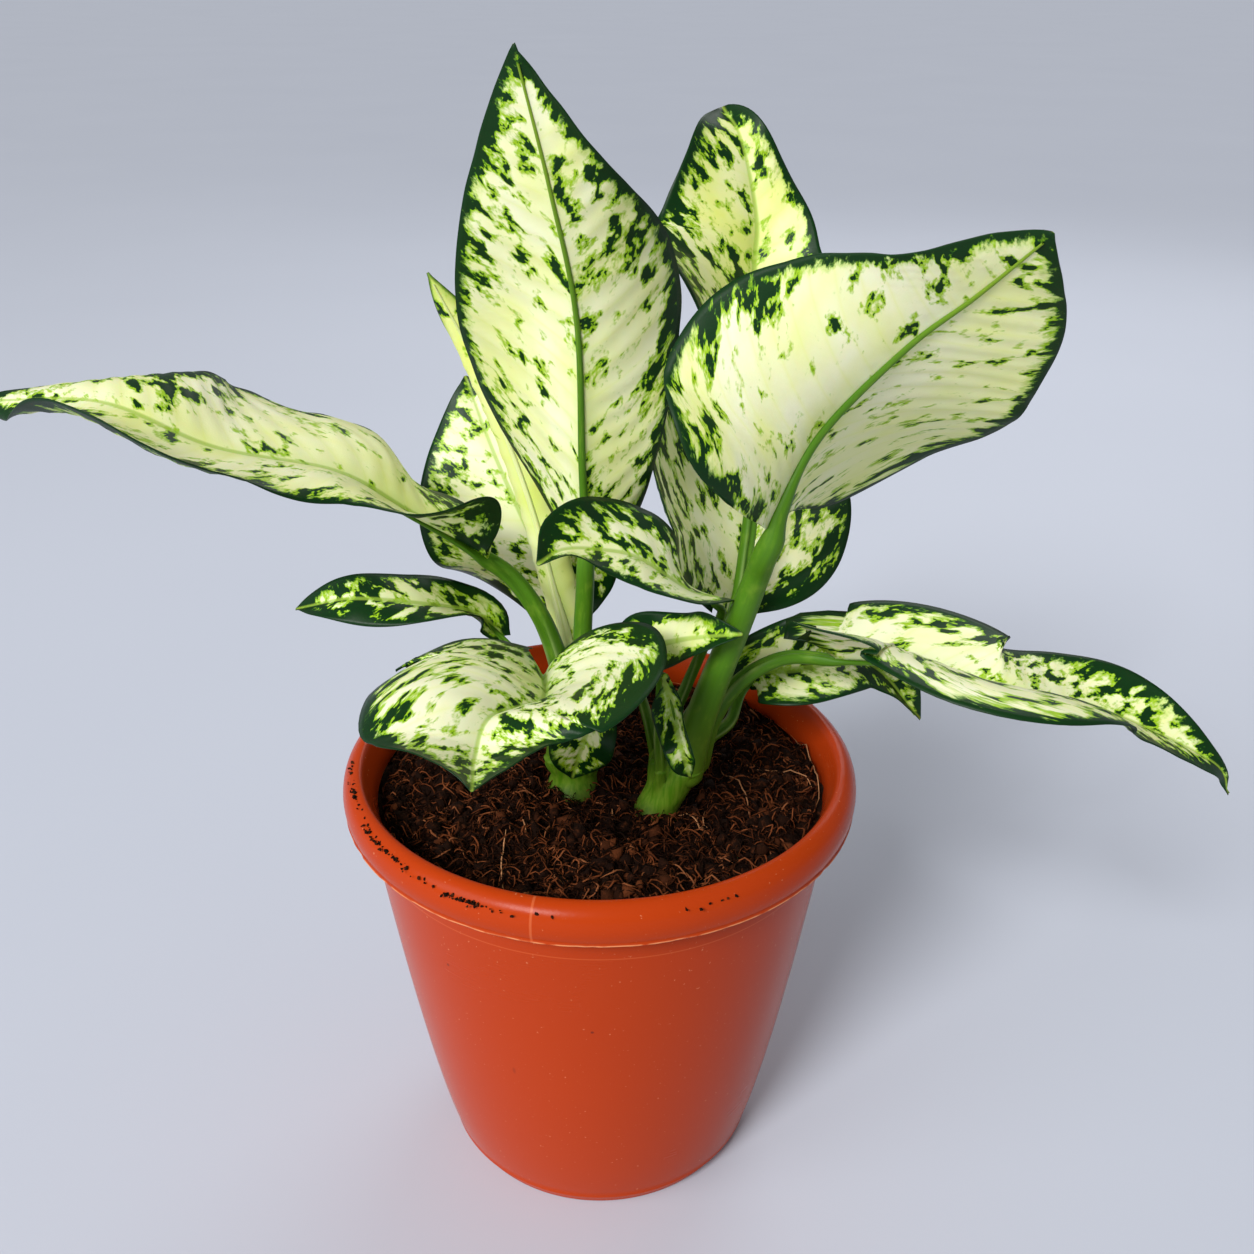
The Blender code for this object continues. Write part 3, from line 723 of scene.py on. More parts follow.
def blade_mesh(leaf, spine, seed):
    """The blade as a thin closed sheet, thinner towards its outline."""
    u, v, across, vein, edge = blade_places(leaf, spine)
    top, normal = crossways(leaf, spine, u, v)
    place = np.stack([vein, across, np.full(u.shape, 50.0 * seed)], -1)
    top = top + normal * blade_lift(place, seed, u, across, vein, edge)[..., None]
    thick = settings().blade / MM * (0.45 + 0.55 * smooth(edge, 0, 4))
    bottom = top - normal * thick[..., None]
    rings = np.concatenate([top, bottom[:, ::-1]], axis=1)
    rows, count = rings.shape[:2]
    k = np.arange(count // 2 - 1)
    far = count - 1 - k
    base_end = np.stack([k, far, far - 1, k + 1], -1)
    tip_end = np.stack([k, k + 1, far - 1, far], -1) + (rows - 1) * count
    faces = np.concatenate([grid_faces(rows, count, wrapped=True), base_end, tip_end])
    both = {"across": across, "vein": vein, "edge": edge, "along": u}
    measures = {key: np.concatenate([value, value[:, ::-1]], axis=1).ravel() for key, value in both.items()}
    measures["under"] = np.concatenate([np.zeros(u.shape), np.ones(u.shape)], axis=1).ravel()
    measures["wing"] = np.zeros(measures["under"].shape)
    return rings.reshape(-1, 3), faces, measures


def stalk_line(leaf, spine, travel, sunk):
    """The stalk's middle line and its tangents, let into the cane at its root and eased near the blade."""
    point, tangent = spine.at(np.maximum(travel, 0))
    inward = np.array([*leaf.start, 0])
    point = point + tangent * np.minimum(travel, 0)[:, None] - inward * 0.6 * sunk[:, None] ** 1.5
    padded = np.pad(point, ((EASE, EASE), (0, 0)), "edge")
    eased = np.mean([padded[k : k + len(travel)] for k in range(2 * EASE + 1)], axis=0)
    bend = np.exp(-(((travel - spine.base) / 14) ** 2))[:, None]
    return point + (eased - point) * bend, tangent


def stalk_radii(leaf, spine, travel, share, blade, sunk):
    """The stalk's radius, wider at its foot and in a sheath, and below the blade the midrib's."""
    radius = leaf.stalk[0] + (leaf.stalk[1] - leaf.stalk[0]) * share
    radius = radius * (1 + (leaf.sheath - 1) * (0.35 + 0.65 * share))
    radius = radius * (1 + 0.2 * np.exp(-np.maximum(travel, 0) / 12))
    rib = (leaf.stalk[1] * (1 - RIB_DROP * smooth(blade, -0.05, 0.18)) - RIB_TIP) * (1 - blade / RIB_END)
    return np.where(travel > spine.base, rib + RIB_TIP, radius) * (1 - 0.65 * sunk**1.5)


def stalk_mesh(leaf, spine):
    """The stalk and, as its thinning end below the blade, the midrib."""
    low, high = -STALK_ROOT, spine.base + RIB_END * spine.blade
    rows = round((high - low) / ROW_LENGTH)
    travel = np.linspace(low, high, rows)
    sunk = np.clip(-travel / STALK_ROOT, 0, 1)
    share = np.clip(travel / spine.base, 0, 1)
    blade = np.clip((travel - spine.base) / spine.blade, 0, 1)
    point, tangent = stalk_line(leaf, spine, travel, sunk)
    normal = facing(leaf, blade, tangent)
    side = np.cross(tangent, normal)
    radius = stalk_radii(leaf, spine, travel, share, blade, sunk)
    on_blade = smooth(travel, spine.base - 5, spine.base + 5)
    angle, ways = circle(STALK_SIDES)
    turn = (angle - pi / 2 + pi) % (2 * pi) - pi
    channel = 0.42 * np.exp(-((turn / 0.42) ** 2))
    wing = np.exp(-(((np.abs(turn) - 0.72) / 0.16) ** 2))
    sheath = smooth(-share, -0.75, -0.35) * smooth(travel, 4, 16)
    factor = 1 + (1 - on_blade)[:, None] * (wing * (0.06 + 0.2 * sheath)[:, None] - channel)
    out, up = ways[:, 0] * factor, ways[:, 1] * factor
    up = up * np.where(up > 0, 1 - 0.8 * on_blade[:, None], 1)
    drop = leaf.stalk[1] * share**2 * (1 - on_blade) + (0.2 * radius + 0.3 + GROOVE) * on_blade
    centre = point - normal * drop[:, None]
    swell = radius[:, None, None]
    rings = centre[:, None] + swell * (side[:, None] * out[..., None] + normal[:, None] * up[..., None])
    along = np.where(travel < spine.base, share - 1, (travel - spine.base) / spine.blade)
    across = radius[:, None] * out
    measures = {
        "across": across.ravel(),
        "vein": np.repeat(travel, STALK_SIDES),
        "edge": np.full(across.size, FAR_FROM_EDGE),
        "along": np.repeat(along, STALK_SIDES),
        "under": np.tile(turn, rows),
        "wing": (wing * sheath[:, None]).ravel(),
    }
    return rings.reshape(-1, 3), grid_faces(rows, STALK_SIDES, wrapped=True)[:, ::-1], measures


def fleck_field(finish, leaf, flat, across, edge):
    """How green each place is: high on flecks, on the greener side and near the blade's outline."""
    first, last = leaf.green
    green = first + (across * 0.5).step(-1, 1) * (last - first)
    flecks = finish.noise(flat(0.2, 0.2, 3.7), 1, 3, 0.5, 0.3)
    fine = finish.noise(flat(0.62, 0.8, 5.1), 1, 2, 0.6)
    broad = finish.noise(flat(0.04, 0.05, 1.9), 1, 1)
    patches = finish.cells(flat(0.95, 0.7, 1), 1)
    field = flecks + (fine - 0.5) * 0.2 + (broad - 0.5) * 0.35 + (patches - 0.5) * 0.06
    return field + (edge * -1 / 8).exp() * 0.21 - 0.045 + (green - 0.5) * 0.3


def leaf_blade_finish(leaf, seed):
    """Cream blade with dark green flecks along the side veins, each in a lime halo, and a green margin."""
    tools = settings()
    finish = Finish(f"{leaf.name}_blade", Specular_IOR_Level=0.18, **FLESH)
    across, vein, edge, along, under = map(finish.attribute, ("across", "vein", "edge", "along", "under"))

    def flat(lengthwise, sideways, shift):
        """A place on the blade, scaled along its side veins and across, and moved for each leaf."""
        return finish.vector(vein * lengthwise, across * sideways, seed * shift)

    field = fleck_field(finish, leaf, flat, across, edge)
    ragged = finish.noise(flat(0.4, 0.4, 2.3), 1, 4, 0.65)
    inward = edge - leaf.margin * (ragged - 0.28) * 3.2
    tint = finish.noise(flat(0.05, 0.06, 6.1), 1, 3)
    ridge = 1 - (vein * (pi * MM / tools.vein_spacing)).wave().size()
    near_rib = (across.size() * -1 / 4).exp() * (1 - along) * 0.5
    rib = (across.size() - (1.0 - along * 0.8)).step(0.5, -0.2) * (1 - under)
    colour = finish.layered(
        tools.cream,
        ((tint - 0.5) * 1.8 + leaf.tint, tools.lemon),
        (ridge**4 * 0.3, tools.lemon),
        (near_rib, tools.lime),
        (field.step(0.49, 0.598), tools.lime),
        (inward.step(3.2, 0.5) * 0.55, tools.lime),
        (field.step(0.602, 0.618), tools.leaf_green),
        (inward.step(1.0, 0.2) * 0.85, tools.leaf_green),
        (field.step(0.614, 0.634), tools.dark_green),
        (inward.step(0.35, -0.35), tools.dark_green),
        (rib * 0.7, (0.33, 0.50, 0.05)),
    )
    grain = finish.noise(finish.place(), 2600, 2)
    return finish.surface(colour, grain, 0.00006, 0.5, 0.34 + grain * 0.14 + under * 0.1)


def stalk_finish():
    """Fibrous green, paler on the midrib and on the wings of the stalk's channel."""
    finish = Finish("stalk", roughness=0.45, Specular_IOR_Level=0.18)
    along, turn, travel, wing = map(finish.attribute, ("along", "under", "vein", "wing"))
    fibres = finish.noise(finish.vector(turn * 3.2, travel * 0.05, 0), 1, 3, 0.6)
    patches = finish.noise(finish.vector(turn * 0.8, travel * 0.12, 4), 1, 3, 0.55)
    colour = finish.layered(
        settings().stalk_green,
        (fibres, (0.055, 0.15, 0.012)),
        (patches.step(0.5, 0.75) * 0.4, (0.22, 0.36, 0.03)),
        (along.step(0.35, 1.1) * 0.6, (0.33, 0.47, 0.035)),
        (along.step(-0.6, -1) * 0.4, (0.19, 0.30, 0.02)),
        (wing * 0.45, (0.60, 0.66, 0.28)),
    )
    return finish.surface(colour, fibres, 0.0002, 0.35)


def sheath_finish():
    """The pale sheath of a leaf that is still rolled."""
    finish = Finish("sheath", roughness=0.45, Specular_IOR_Level=0.2, **FLESH)
    turn, travel = map(finish.attribute, ("under", "vein"))
    streaks = finish.noise(finish.vector(turn * 3, travel * 0.03, 0), 1, 3, 0.6)
    colour = finish.layered(
        (0.80, 0.84, 0.42),
        (streaks.step(0.35, 0.75), (0.60, 0.70, 0.18)),
        (travel.step(14, -2) * 0.6, settings().stalk_green),
    )
    return finish.surface(colour, streaks, 0.0003, 0.4)


def build_leaf(leaf, seed):
    x, y, z = leaf.stem.top
    start = (x + leaf.start[0], y + leaf.start[1], z + STALK_GAP)
    spine = Spine([start, *leaf.petiole], leaf.midrib)
    points, faces, measures = blade_mesh(leaf, spine, seed)
    more_points, more_faces, more_measures = stalk_mesh(leaf, spine)
    picks = np.concatenate([np.zeros(len(faces)), np.ones(len(more_faces))])
    all_faces = np.concatenate([faces, more_faces + len(points)])
    all_measures = {key: np.concatenate([values, more_measures[key]]) for key, values in measures.items()}
    name = leaf.name.removeprefix("leaf_") + "_leaf"
    stalk = sheath_finish() if leaf.sheath > 1 else once("stalk", stalk_finish)
    materials = [leaf_blade_finish(leaf, seed), stalk]
    piece = add_piece(name, np.vstack([points, more_points]), all_faces, materials, picks, all_measures)
    return settle(piece, "leaf", leaf.name)


def stem_radii(stem, ways, share):
    """The stem's reach in each direction: round at the foot, and round its stalks at the top."""
    reaches = [np.full(len(ways), stem.foot_radius * (1 - 0.6 * share))]
    for leaf in LEAVES:
        if leaf.stem is stem:
            offset = np.array(leaf.start) * share**0.8
            lobe = leaf.stalk[0] * (1.35 - 0.1 * share)
            along = ways @ offset
            inside = lobe**2 - offset @ offset + along**2
            reaches.append(along + np.sqrt(np.maximum(inside, 0)) - 3 * (inside < 0))
    return np.log(np.exp(np.array(reaches) * BLUNT).sum(0)) / BLUNT


def build_stem(stem):
    """A short cane of wrapped stalk bases, with a rounded crown that the stalks leave."""
    foot, top = np.array(stem.foot), np.array(stem.top)
    low, crown = SOIL_LEVEL + 1, top[2] + CROWN_RISE
    _, ways = circle(STEM_SIDES)
    rings = [level(foot + ways * stem.foot_radius, SOIL_LEVEL - CANE_ROOT)]
    for share in np.linspace(0, 1, CANE_RINGS):
        centre = foot + (top[:2] - foot) * share
        radii = stem_radii(stem, ways, share)
        height = low + (crown - low) * share
        radii = radii * (1 + 0.04 * rough(level(ways * radii[:, None], height), 6, 3))
        rings.append(level(centre + ways * radii[:, None], height))
    last = rings[-1]
    middle = np.array([*top[:2], crown])
    for share in (0.9, 0.7, 0.45, 0.2, 0.02):
        ring = middle + (last - middle) * share
        ring[:, 2] += 1.6 * np.sqrt(1 - share**2)
        rings.append(ring)
    faces = grid_faces(len(rings), STEM_SIDES, wrapped=True)
    name = stem.name.replace("stem_", "") + "_cane"
    piece = add_piece(name, np.concatenate(rings), faces, [once("cane", stem_finish)])
    return settle(piece, "stem", stem.name)


def stem_finish():
    """Fibrous green, darker where it leaves the soil."""
    tools = settings()
    finish = Finish("cane", roughness=0.5, Specular_IOR_Level=0.18)
    place = finish.place()
    height = finish.axis(place, "Z") / MM
    fibres = finish.noise(finish.stretched(place, (900, 900, 90)), 1, 3)
    colour = finish.layered(
        (0.17, 0.30, 0.02),
        (fibres.step(0.3, 0.7), tools.stalk_green),
        ((height - SOIL_LEVEL - 1).step(6, 0) * 0.75, (0.035, 0.05, 0.006)),
    )
    return finish.surface(colour, fibres, 0.0003, 0.5)


def body_radius(z):
    """The pot's outer radius at a height below its rim."""
    share = np.clip(np.asarray(z, float) / RIM_LOW, 0, 1)
    return POT_BASE_RADIUS + (BODY_TOP_RADIUS - POT_BASE_RADIUS) * share**BODY_BOW


def smooth_line(points, step):
    """A smooth line through (radius, z) points, with a point at each step of its length."""
    line = Spine([(r, 0, z) for r, z in points[:-1]], [(points[-1][0], 0, points[-1][1])])
    count = max(2, round(line.travel[-1] / step))
    placed, _ = line.at(np.linspace(0, line.travel[-1], count))
    return [(r, z) for r, _, z in placed]


def pot_profile():
    """The pot's outline from the middle of its underside, up its outside, over the rim and down inside."""

    def near_rim(*places):
        return [(RIM_RADIUS - inward, RIM_LOW + rise) for inward, rise in places]

    base, inside = POT_BASE_RADIUS, RIM_INNER_RADIUS
    foot = smooth_line([(base - 1.5, 0), (base - 0.4, 0.4), (base, 1.5)], 0.4)
    foot_step = [FOOT_HEIGHT - 0.2, FOOT_HEIGHT, FOOT_HEIGHT + 0.5]
    body = []
    for z in np.concatenate([foot_step, np.linspace(FOOT_TOP, RIM_LOW - 1.5, 34)]):
        step = FOOT_STEP * smooth(z, FOOT_HEIGHT + 0.5, FOOT_HEIGHT - 0.1) if z < FOOT_TOP else 0
        body.append((float(body_radius(z)) - 0.25 + step * 0.6, float(z)))
    neck = [(BODY_TOP_RADIUS + 0.2, RIM_LOW - 0.6), (BODY_TOP_RADIUS + 0.9, RIM_LOW - 0.2)]
    ledge = near_rim((2.4, -0.1), (1.1, 0), (0.75, 0.35))
    flash = near_rim((0.35, 0.7), (0.3, 1.0), (0.75, 1.35))
    roll = near_rim((0.6, 1.7), (0.15, 3.5), (0, 5.8), (0.55, 8.6), (1.7, 10.6), (3.5, 12.1))
    roll += [(RIM_RADIUS - 5.2, POT_HEIGHT), (inside + 0.9, POT_HEIGHT - 0.5), (inside, POT_HEIGHT - 1.8)]
    rim = smooth_line(roll, 0.55)
    inner = [(inside - 1.6, POT_HEIGHT - 6), (inside - 3.2, RIM_LOW + 1)]
    for z in (RIM_LOW - 1, 120, 100, 70, 40, 15, POT_FLOOR):
        inner.append((float(body_radius(z)) - POT_WALL, float(z)))
    return [(0, 0), *foot, *body, *neck, *ledge, *flash, *rim, *inner, (0, POT_FLOOR)]


def pot_radii(profile, angles):
    """Radii and heights of the pot's rings, with an uneven flash under the rim and a weld line on it."""
    radius = np.repeat(profile[1:-1, :1], POT_SIDES, 1)
    height = np.repeat(profile[1:-1, 1:], POT_SIDES, 1)
    around = np.stack([np.cos(angles) * 60, np.sin(angles) * 60, np.zeros(POT_SIDES)], -1)
    lip = np.exp(-(((height - RIM_LOW - 0.8) / 0.5) ** 2)) * (radius > RIM_RADIUS - 1.5)
    radius = radius - lip * 0.35 * np.maximum(rough(around, 3.5, 11, 2), 0)
    turn = angles - radians(WELD_AZIMUTH - 90)
    weld = np.exp(-(((turn + pi) % (2 * pi) - pi) * RIM_RADIUS / 0.5) ** 2)
    radius = radius + 0.12 * weld * (height > RIM_LOW + 2) * (radius > RIM_INNER_RADIUS + 1)
    return np.minimum(radius, RIM_RADIUS), height


def build_pot():
    profile = np.array(pot_profile())
    angles, _ = circle(POT_SIDES)
    radius, height = pot_radii(profile, angles)
    rings = np.stack([radius * np.cos(angles), radius * np.sin(angles), height], -1)
    points = np.concatenate([rings.reshape(-1, 3), [(0, 0, 0), (0, 0, POT_FLOOR)]])
    k = np.arange(POT_SIDES)
    n = (k + 1) % POT_SIDES
    last = (len(radius) - 1) * POT_SIDES
    faces = grid_faces(len(radius), POT_SIDES, wrapped=True).tolist()
    for middle, first, second in ((len(points) - 2, n, k), (len(points) - 1, last + k, last + n)):
        faces += np.stack([np.full(POT_SIDES, middle), first, second], -1).tolist()
    first_inner = int(np.argmax(profile[:, 1])) + INNER_AFTER_TOP
    # Marks the inside of the pot, which the finish darkens with painted shade
    inner = np.zeros(len(points))
    inner[(first_inner - 1) * POT_SIDES :] = 1
    inner[-2] = 0
    piece = add_piece("plastic_pot", points, faces, [pot_finish()], measures={"inner": inner})
    return settle(piece, "pot", "pot")


def pot_finish():
    """Glossy plastic with fine scratches, paler flash, a weld line, a mould ring, specks and scuffs, and
    painted shade inside.
    """
    finish = Finish("pot_plastic", Specular_IOR_Level=0.1)
    place = finish.place()
    height = finish.axis(place, "Z") / MM
    cloud = finish.noise(place, 18, 3)
    speck = finish.noise(place, 900, 2)
    nicks = finish.noise(place, 220, 2).step(0.3, 0.6)
    flash = (height - (RIM_LOW + 0.85)).size().step(0.32, 0.12) * nicks
    ring = (height - (RIM_LOW - MOULD_RING_DROP)).size().step(0.3, 0.1)
    turned = finish.turned(place, WELD_AZIMUTH)
    weld = finish.axis(turned, "X").size().step(0.0005, 0.0002) * finish.axis(turned, "Y").step(0.0, -0.03)
    dust = finish.dots(place, 70, 0.045, 0.25)
    scuff = finish.dots(finish.stretched(place, (1, 1, 0.35)), 45, 0.05, 0.2)
    scratch = finish.noise(finish.stretched(place, (60, 60, 900)), 1, 3)
    colour = finish.layered(
        settings().pot_colour,
        (cloud * 0.5, (0.42, 0.038, 0.007)),
        (flash * 0.75, (0.85, 0.34, 0.14)),
        (weld * (height - RIM_LOW).step(0, 2) * 0.3, (0.80, 0.22, 0.08)),
        (ring * 0.35, (0.70, 0.14, 0.04)),
        # Painted shade: the inside of the pot is darkened to near black
        (finish.attribute("inner") * 0.75, (0.09, 0.008, 0.003)),
        (speck.step(0.70, 0.78) * 0.5, (0.75, 0.30, 0.14)),
        (dust * 0.7, (0.10, 0.015, 0.008)),
        (scuff * 0.6, (0.16, 0.02, 0.008)),
    )
    return finish.surface(colour, speck * 0.5 + cloud * 2, 0.0002, 0.25, 0.2 + cloud * 0.1 + scratch * 0.015)


def soil_top(points):
    """The height of the soil at (x, y) points, uneven with crumbs."""
    spread = level(points, 0)
    height = SOIL_LEVEL + 1.2 * rough(spread, 24, 5) + 1.9 * rough(spread, 8, 9)
    height += 1.6 * rough(spread, 3.5, 15, 2)
    return height - 1.0 * smooth(np.linalg.norm(points, axis=-1), 60, 71)


def build_soil():
    rng = np.random.default_rng(7)
    edge, low_edge = (float(body_radius(z)) - POT_WALL - SOIL_INSET for z in (SOIL_LEVEL, SOIL_BOTTOM))
    radii = np.linspace(0, edge, SOIL_RINGS + 1)[1:]
    _, ways = circle(SOIL_SIDES)
    flat = (radii[::-1, None, None] * ways).reshape(-1, 2)
    top = np.column_stack([flat, soil_top(flat)])
    points = np.concatenate([level(ways * low_edge, SOIL_BOTTOM), top])
    faces = grid_faces(SOIL_RINGS + 1, SOIL_SIDES, wrapped=True)
    bed = soil_piece("soil_bed", points, faces, np.zeros(len(points)))
    settle(bed, "soil", "soil")
    settle(build_fibres(rng), "soil")
    settle(build_clumps(rng), "soil")
    return bed


def soil_piece(name, points, faces, shades):
    return add_piece(name, points, faces, [once("coir", soil_finish)], measures={"shade": shades})


def gathered(name, points, faces, shades):
    """One piece from many small ones, each with one shade."""
    spread = [np.full(len(part), shade) for part, shade in zip(points, shades)]
    return soil_piece(name, np.concatenate(points), np.concatenate(faces), np.concatenate(spread))


def tube(path, radius, sides=3):
    """Rings of points round a path, thinning to its ends."""
    tangent = unit(np.gradient(path, axis=0))
    flat = unit(np.cross(tangent, (0.02, 0.03, 1)))
    high = np.cross(flat, tangent)
    angles = np.arange(sides) * 2 * pi / sides
    taper = np.sin(np.linspace(0.12, pi - 0.12, len(path))) ** 0.4
    ring = flat[:, None] * np.cos(angles)[:, None] + high[:, None] * np.sin(angles)[:, None]
    return path[:, None] + ring * (radius * taper)[:, None, None]


def coir_strand(rng):
    """A radius and a shade: most strands are fine and dark, and few are thick and bright."""
    shade = rng.random() ** 2
    return rng.uniform(0.1, 0.24) + 0.14 * shade, shade


def polar(reach, way):
    return np.array([reach * cos(way), reach * sin(way)])


def short_fibre(rng):
    """The path of one loose fibre: curly, a little tilted and bowed up from the soil."""
    reach = FIBRE_REACH * np.sqrt(rng.random())
    way = rng.uniform(0, 2 * pi)
    length = rng.uniform(2.5, 9.5)
    heading, turn = rng.uniform(0, 2 * pi), rng.normal(0, 2.0)
    t = np.linspace(-0.5, 0.5, FIBRE_POINTS)
    bearings = heading + turn * t + rng.normal(0, 0.25, FIBRE_POINTS)
    steps = np.column_stack([np.cos(bearings), np.sin(bearings)]) * length / (FIBRE_POINTS - 1)
    flat = polar(reach, way) + np.cumsum(steps, axis=0) - steps.sum(0) / 2
    flat = flat * np.minimum(1, FIBRE_LIMIT / np.linalg.norm(flat, axis=1))[:, None]
    tilt = rng.normal(0, 0.16) * length
    rest = SOIL_LEVEL + 0.8 * (soil_top(flat) - SOIL_LEVEL) - 0.3
    height = rest + rng.uniform(0, 2.4) + tilt * t + rng.uniform(0, 2.2) * np.cos(pi * t)
    return np.column_stack([flat, height])


def long_fibre(path):
    """A smooth path over the soil through (x, y) points."""
    line = Spine([(x, y, 0) for x, y in path[:-1]], [(*path[-1], 0)])
    flat = line.at(np.linspace(0, line.travel[-1], LONG_FIBRE_POINTS))[0][:, :2]
    height = soil_top(flat) + 1.2 + 1.4 * np.sin(np.linspace(0, pi, LONG_FIBRE_POINTS))
    return np.column_stack([flat, height])


def build_fibres(rng):
    """Loose coir fibres: short curly ones all over the soil, and a few long ones at their places."""
    fibres = [(short_fibre(rng), *coir_strand(rng)) for _ in range(settings().fibres)]
    fibres += [(long_fibre(path), radius, shade) for path, radius, shade in LONG_FIBRES]
    points, faces, count = [], [], 0
    for path, radius, _ in fibres:
        points.append(tube(path, radius).reshape(-1, 3))
        faces.append(grid_faces(len(path), 3, wrapped=True, start=count))
        count += len(points[-1])
    return gathered("coir_fibres", points, faces, [shade for *_, shade in fibres])


def unit_ball():
    """Points and faces of a coarse ball of radius 1."""
    work = bmesh.new()
    bmesh.ops.create_icosphere(work, subdivisions=1, radius=1)
    points = np.array([v.co for v in work.verts])
    faces = np.array([[v.index for v in f.verts] for f in work.faces])
    work.free()
    return points, faces


def build_clumps(rng):
    """Small crumbs of coir on the soil and a few on the pot's rim."""
    shape, ball_faces = unit_ball()
    points, faces, shades = [], [], []

    def add(place, size, shade):
        stretch = size * rng.uniform(0.6, 1.3, 3)
        body = shape * stretch * (1 + 0.25 * rng.normal(0, 1, (len(shape), 1)))
        body = body @ np.array(Euler(rng.uniform(0, 2 * pi, 3)).to_matrix())
        faces.append(ball_faces + len(shape) * len(points))
        points.append(body + place)
        shades.append(shade)

    for _ in range(settings().clumps):
        reach = CRUMB_REACH * np.sqrt(rng.random())
        way = rng.uniform(0, 2 * pi)
        flat = polar(reach, way)[None]
        size = 0.5 + 2.2 * rng.random() ** 3
        add(np.array([*flat[0], soil_top(flat)[0] + 0.2 * size]), size, 0.65 * rng.random() ** 2)
    for azimuth, radius, height, many in RIM_CRUMBS:
        for _ in range(many):
            way = radians(azimuth - 90 + rng.normal(0, 1.6))
            reach = radius + rng.normal(0, 0.7)
            place = np.array([*polar(reach, way), height + rng.normal(0, 0.15)])
            add(place, rng.uniform(0.2, 0.65), 0.5 * rng.random())
    return gathered("coir_crumbs", points, faces, shades)


def soil_finish():
    """Damp coir, near black, reddish on its fibres, and darkened in its hollows by painted shade."""
    tools = settings()
    finish = Finish("coir", Specular_IOR_Level=0.08)
    shade = finish.attribute("shade")
    place = finish.place()
    grain = finish.noise(place, 500, 4, 0.65)
    fine = finish.noise(place, 1800, 3, 0.6)
    colour = finish.layered(
        tools.soil_colour,
        (grain.step(0.5, 0.8) * 0.3, tools.fibre_colour),
        (shade.step(0.2, 1.1), tools.fibre_colour),
        # Painted shade: low places of the soil, fibres and crumbs are darkened towards the bare coir colour
        (finish.axis(place, "Z").step(*HOLLOW_SHADE) * 0.7, tools.soil_colour),
        (shade.step(0.8, 1.5), (0.55, 0.26, 0.12)),
    )
    return finish.surface(colour, grain + fine * 0.5, 0.0008, 0.8, 0.7 + fine * 0.3)


def add_light(name, kind, place, **options):
    """A light that shines on the plant's middle."""
    data = bpy.data.lights.new(name, kind)
    for option, value in options.items():
        setattr(data, option, value)
    light = linked(name, data)
    light.location = place
    light.rotation_euler = (Vector(MIDDLE) - light.location).to_track_quat("-Z", "Y").to_euler()


def build_floor():
    mesh = bpy.data.meshes.new("floor")
    corners = [(x * FLOOR_REACH, y * FLOOR_REACH, 0) for x, y in ((-1, -1), (1, -1), (1, 1), (-1, 1))]
    mesh.from_pydata(corners, [], [(0, 1, 2, 3)])
    finish = Finish("floor", roughness=0.6)
    tint = finish.noise(finish.place(), 3, 2)
    finish.feed("Base Color", finish.mix(tint, settings().floor_colour, (0.54, 0.57, 0.65)))
    mesh.materials.append(finish.material)
    floor = linked("floor", mesh)
    return floor


def camera_axes():
    """The camera's right, up and forward directions from its heading, tilt and roll."""
    heading, tilt, roll = (radians(a) for a in (HEADING, TILT, ROLL))
    forward = Vector((sin(heading) * cos(tilt), cos(heading) * cos(tilt), -sin(tilt)))
    right = Vector((cos(heading), -sin(heading), 0))
    up = right.cross(forward)
    return right * cos(roll) + up * sin(roll), up * cos(roll) - right * sin(roll), forward


def build_camera():
    data = bpy.data.cameras.new("camera")
    data.sensor_width = SENSOR_WIDTH
    data.lens = LENS
    camera = linked("camera", data)
    right, up, forward = camera_axes()
    turn = Matrix((right, up, -forward)).transposed().to_4x4()
    camera.matrix_world = Matrix.Translation(CAMERA_PLACE) @ turn
    bpy.context.scene.camera = camera
    return camera


def build_world():
    world = bpy.data.worlds.new("studio")
    world.use_nodes = True
    background = world.node_tree.nodes["Background"]
    background.inputs["Color"].default_value = (0.92, 0.95, 1, 1)
    background.inputs["Strength"].default_value = 0.3
    bpy.context.scene.world = world


def build_stage():
    build_floor()
    build_world()
    add_light("key", "SUN", (-0.8, -1.3, 1.3), angle=radians(20), energy=2.9)
    add_light("gloss", "AREA", (-1.1, -0.6, 0.8), shape="DISK", size=0.7, energy=5)
    add_light("back", "AREA", (0.5, 1.2, 1.1), shape="DISK", size=1.0, energy=5)
    build_camera()
    view = bpy.context.scene.view_settings
    view.view_transform = "Standard"
    view.look = "None"


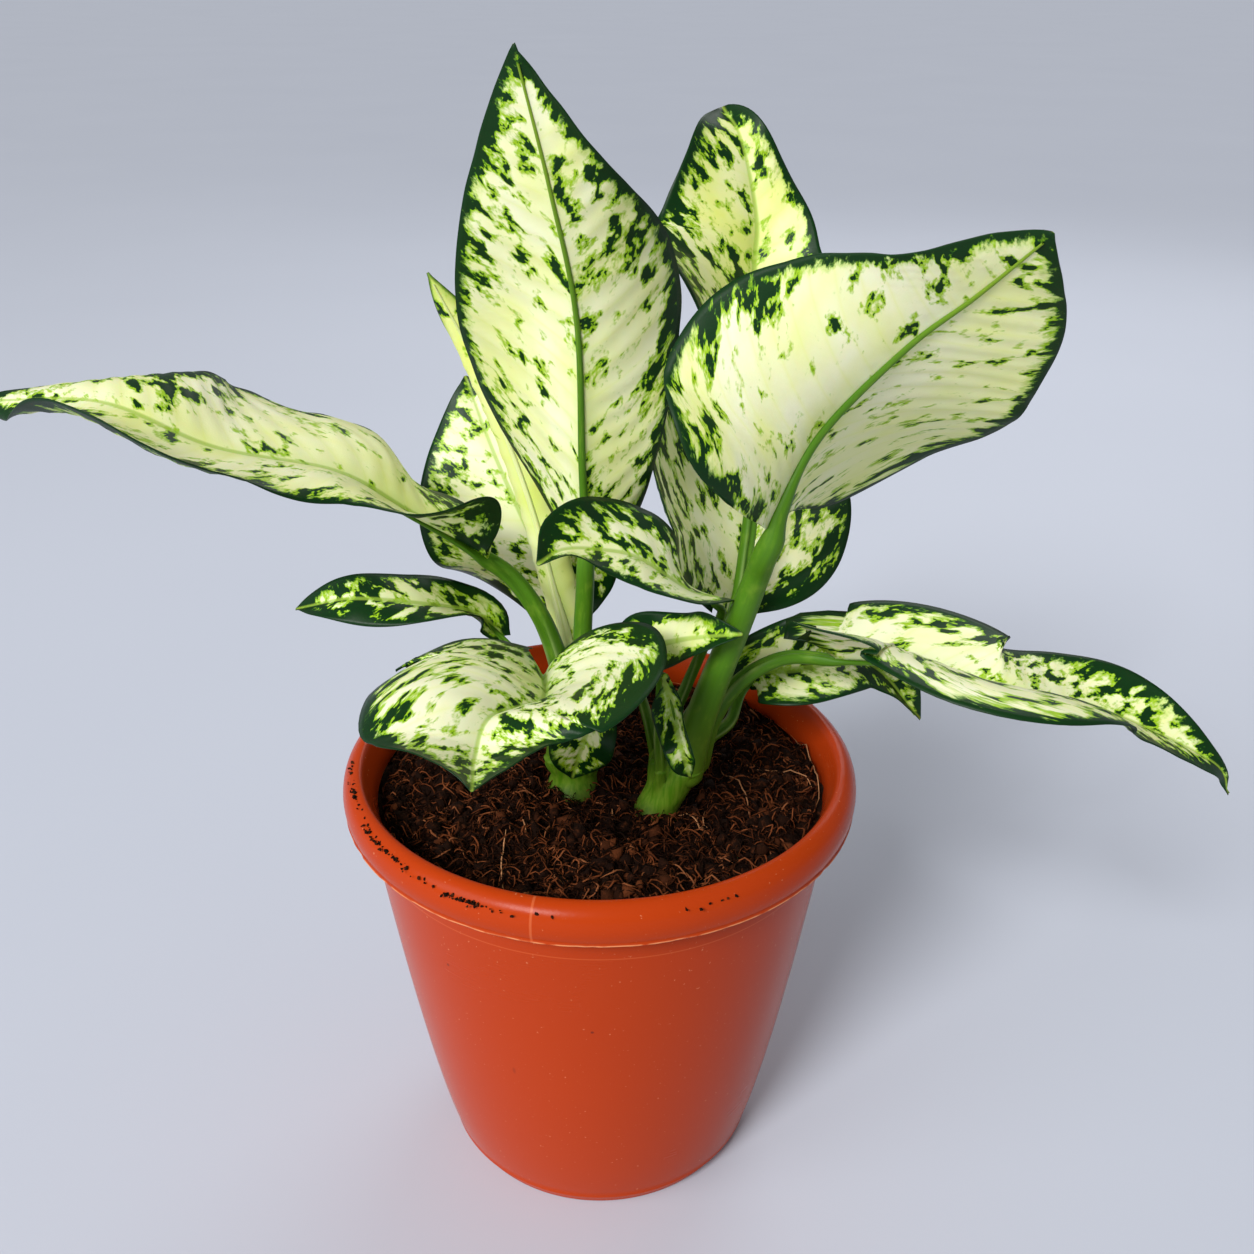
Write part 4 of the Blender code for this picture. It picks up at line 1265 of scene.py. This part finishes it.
class PLANT_OT_pot(bpy.types.Operator):
    """Add the pot"""

    bl_idname = "plant.pot"
    bl_label = "Pot"

    def execute(self, context):
        build_pot()
        return {"FINISHED"}


class PLANT_OT_soil(bpy.types.Operator):
    """Add the soil with its fibres and crumbs"""

    bl_idname = "plant.soil"
    bl_label = "Soil"

    def execute(self, context):
        build_soil()
        return {"FINISHED"}


class PLANT_OT_stems(bpy.types.Operator):
    """Add the two canes"""

    bl_idname = "plant.stems"
    bl_label = "Stems"

    def execute(self, context):
        for stem in (LEFT, RIGHT):
            build_stem(stem)
        return {"FINISHED"}


class PLANT_OT_leaves(bpy.types.Operator):
    """Add the leaves with their stalks"""

    bl_idname = "plant.leaves"
    bl_label = "Leaves"

    def execute(self, context):
        for number, leaf in enumerate(LEAVES):
            build_leaf(leaf, number + 1)
        return {"FINISHED"}


class PLANT_OT_stage(bpy.types.Operator):
    """Add the floor, the lights and the camera"""

    bl_idname = "plant.stage"
    bl_label = "Stage"

    def execute(self, context):
        build_stage()
        return {"FINISHED"}


class PLANT_PT_panel(bpy.types.Panel):
    """Sizes, colours and the steps that build the plant"""

    bl_idname = "PLANT_PT_panel"
    bl_label = "Plant"
    bl_space_type = "VIEW_3D"
    bl_region_type = "UI"
    bl_category = "Plant"

    def draw(self, context):
        for name in PlantSettings.__annotations__:
            self.layout.prop(context.scene.plant, name)
        for step in STEPS:
            self.layout.operator(step.bl_idname)


STEPS = (PLANT_OT_pot, PLANT_OT_soil, PLANT_OT_stems, PLANT_OT_leaves, PLANT_OT_stage)
CLASSES = (PlantSettings, *STEPS, PLANT_PT_panel)


def register():
    for kind in CLASSES:
        bpy.utils.register_class(kind)
    bpy.types.Scene.plant = bpy.props.PointerProperty(type=PlantSettings)


def unregister():
    del bpy.types.Scene.plant
    for kind in reversed(CLASSES):
        bpy.utils.unregister_class(kind)


def main():
    register()
    bpy.ops.plant.pot()
    bpy.ops.plant.soil()
    bpy.ops.plant.stems()
    bpy.ops.plant.leaves()
    bpy.ops.plant.stage()


if __name__ == "__main__":
    main()
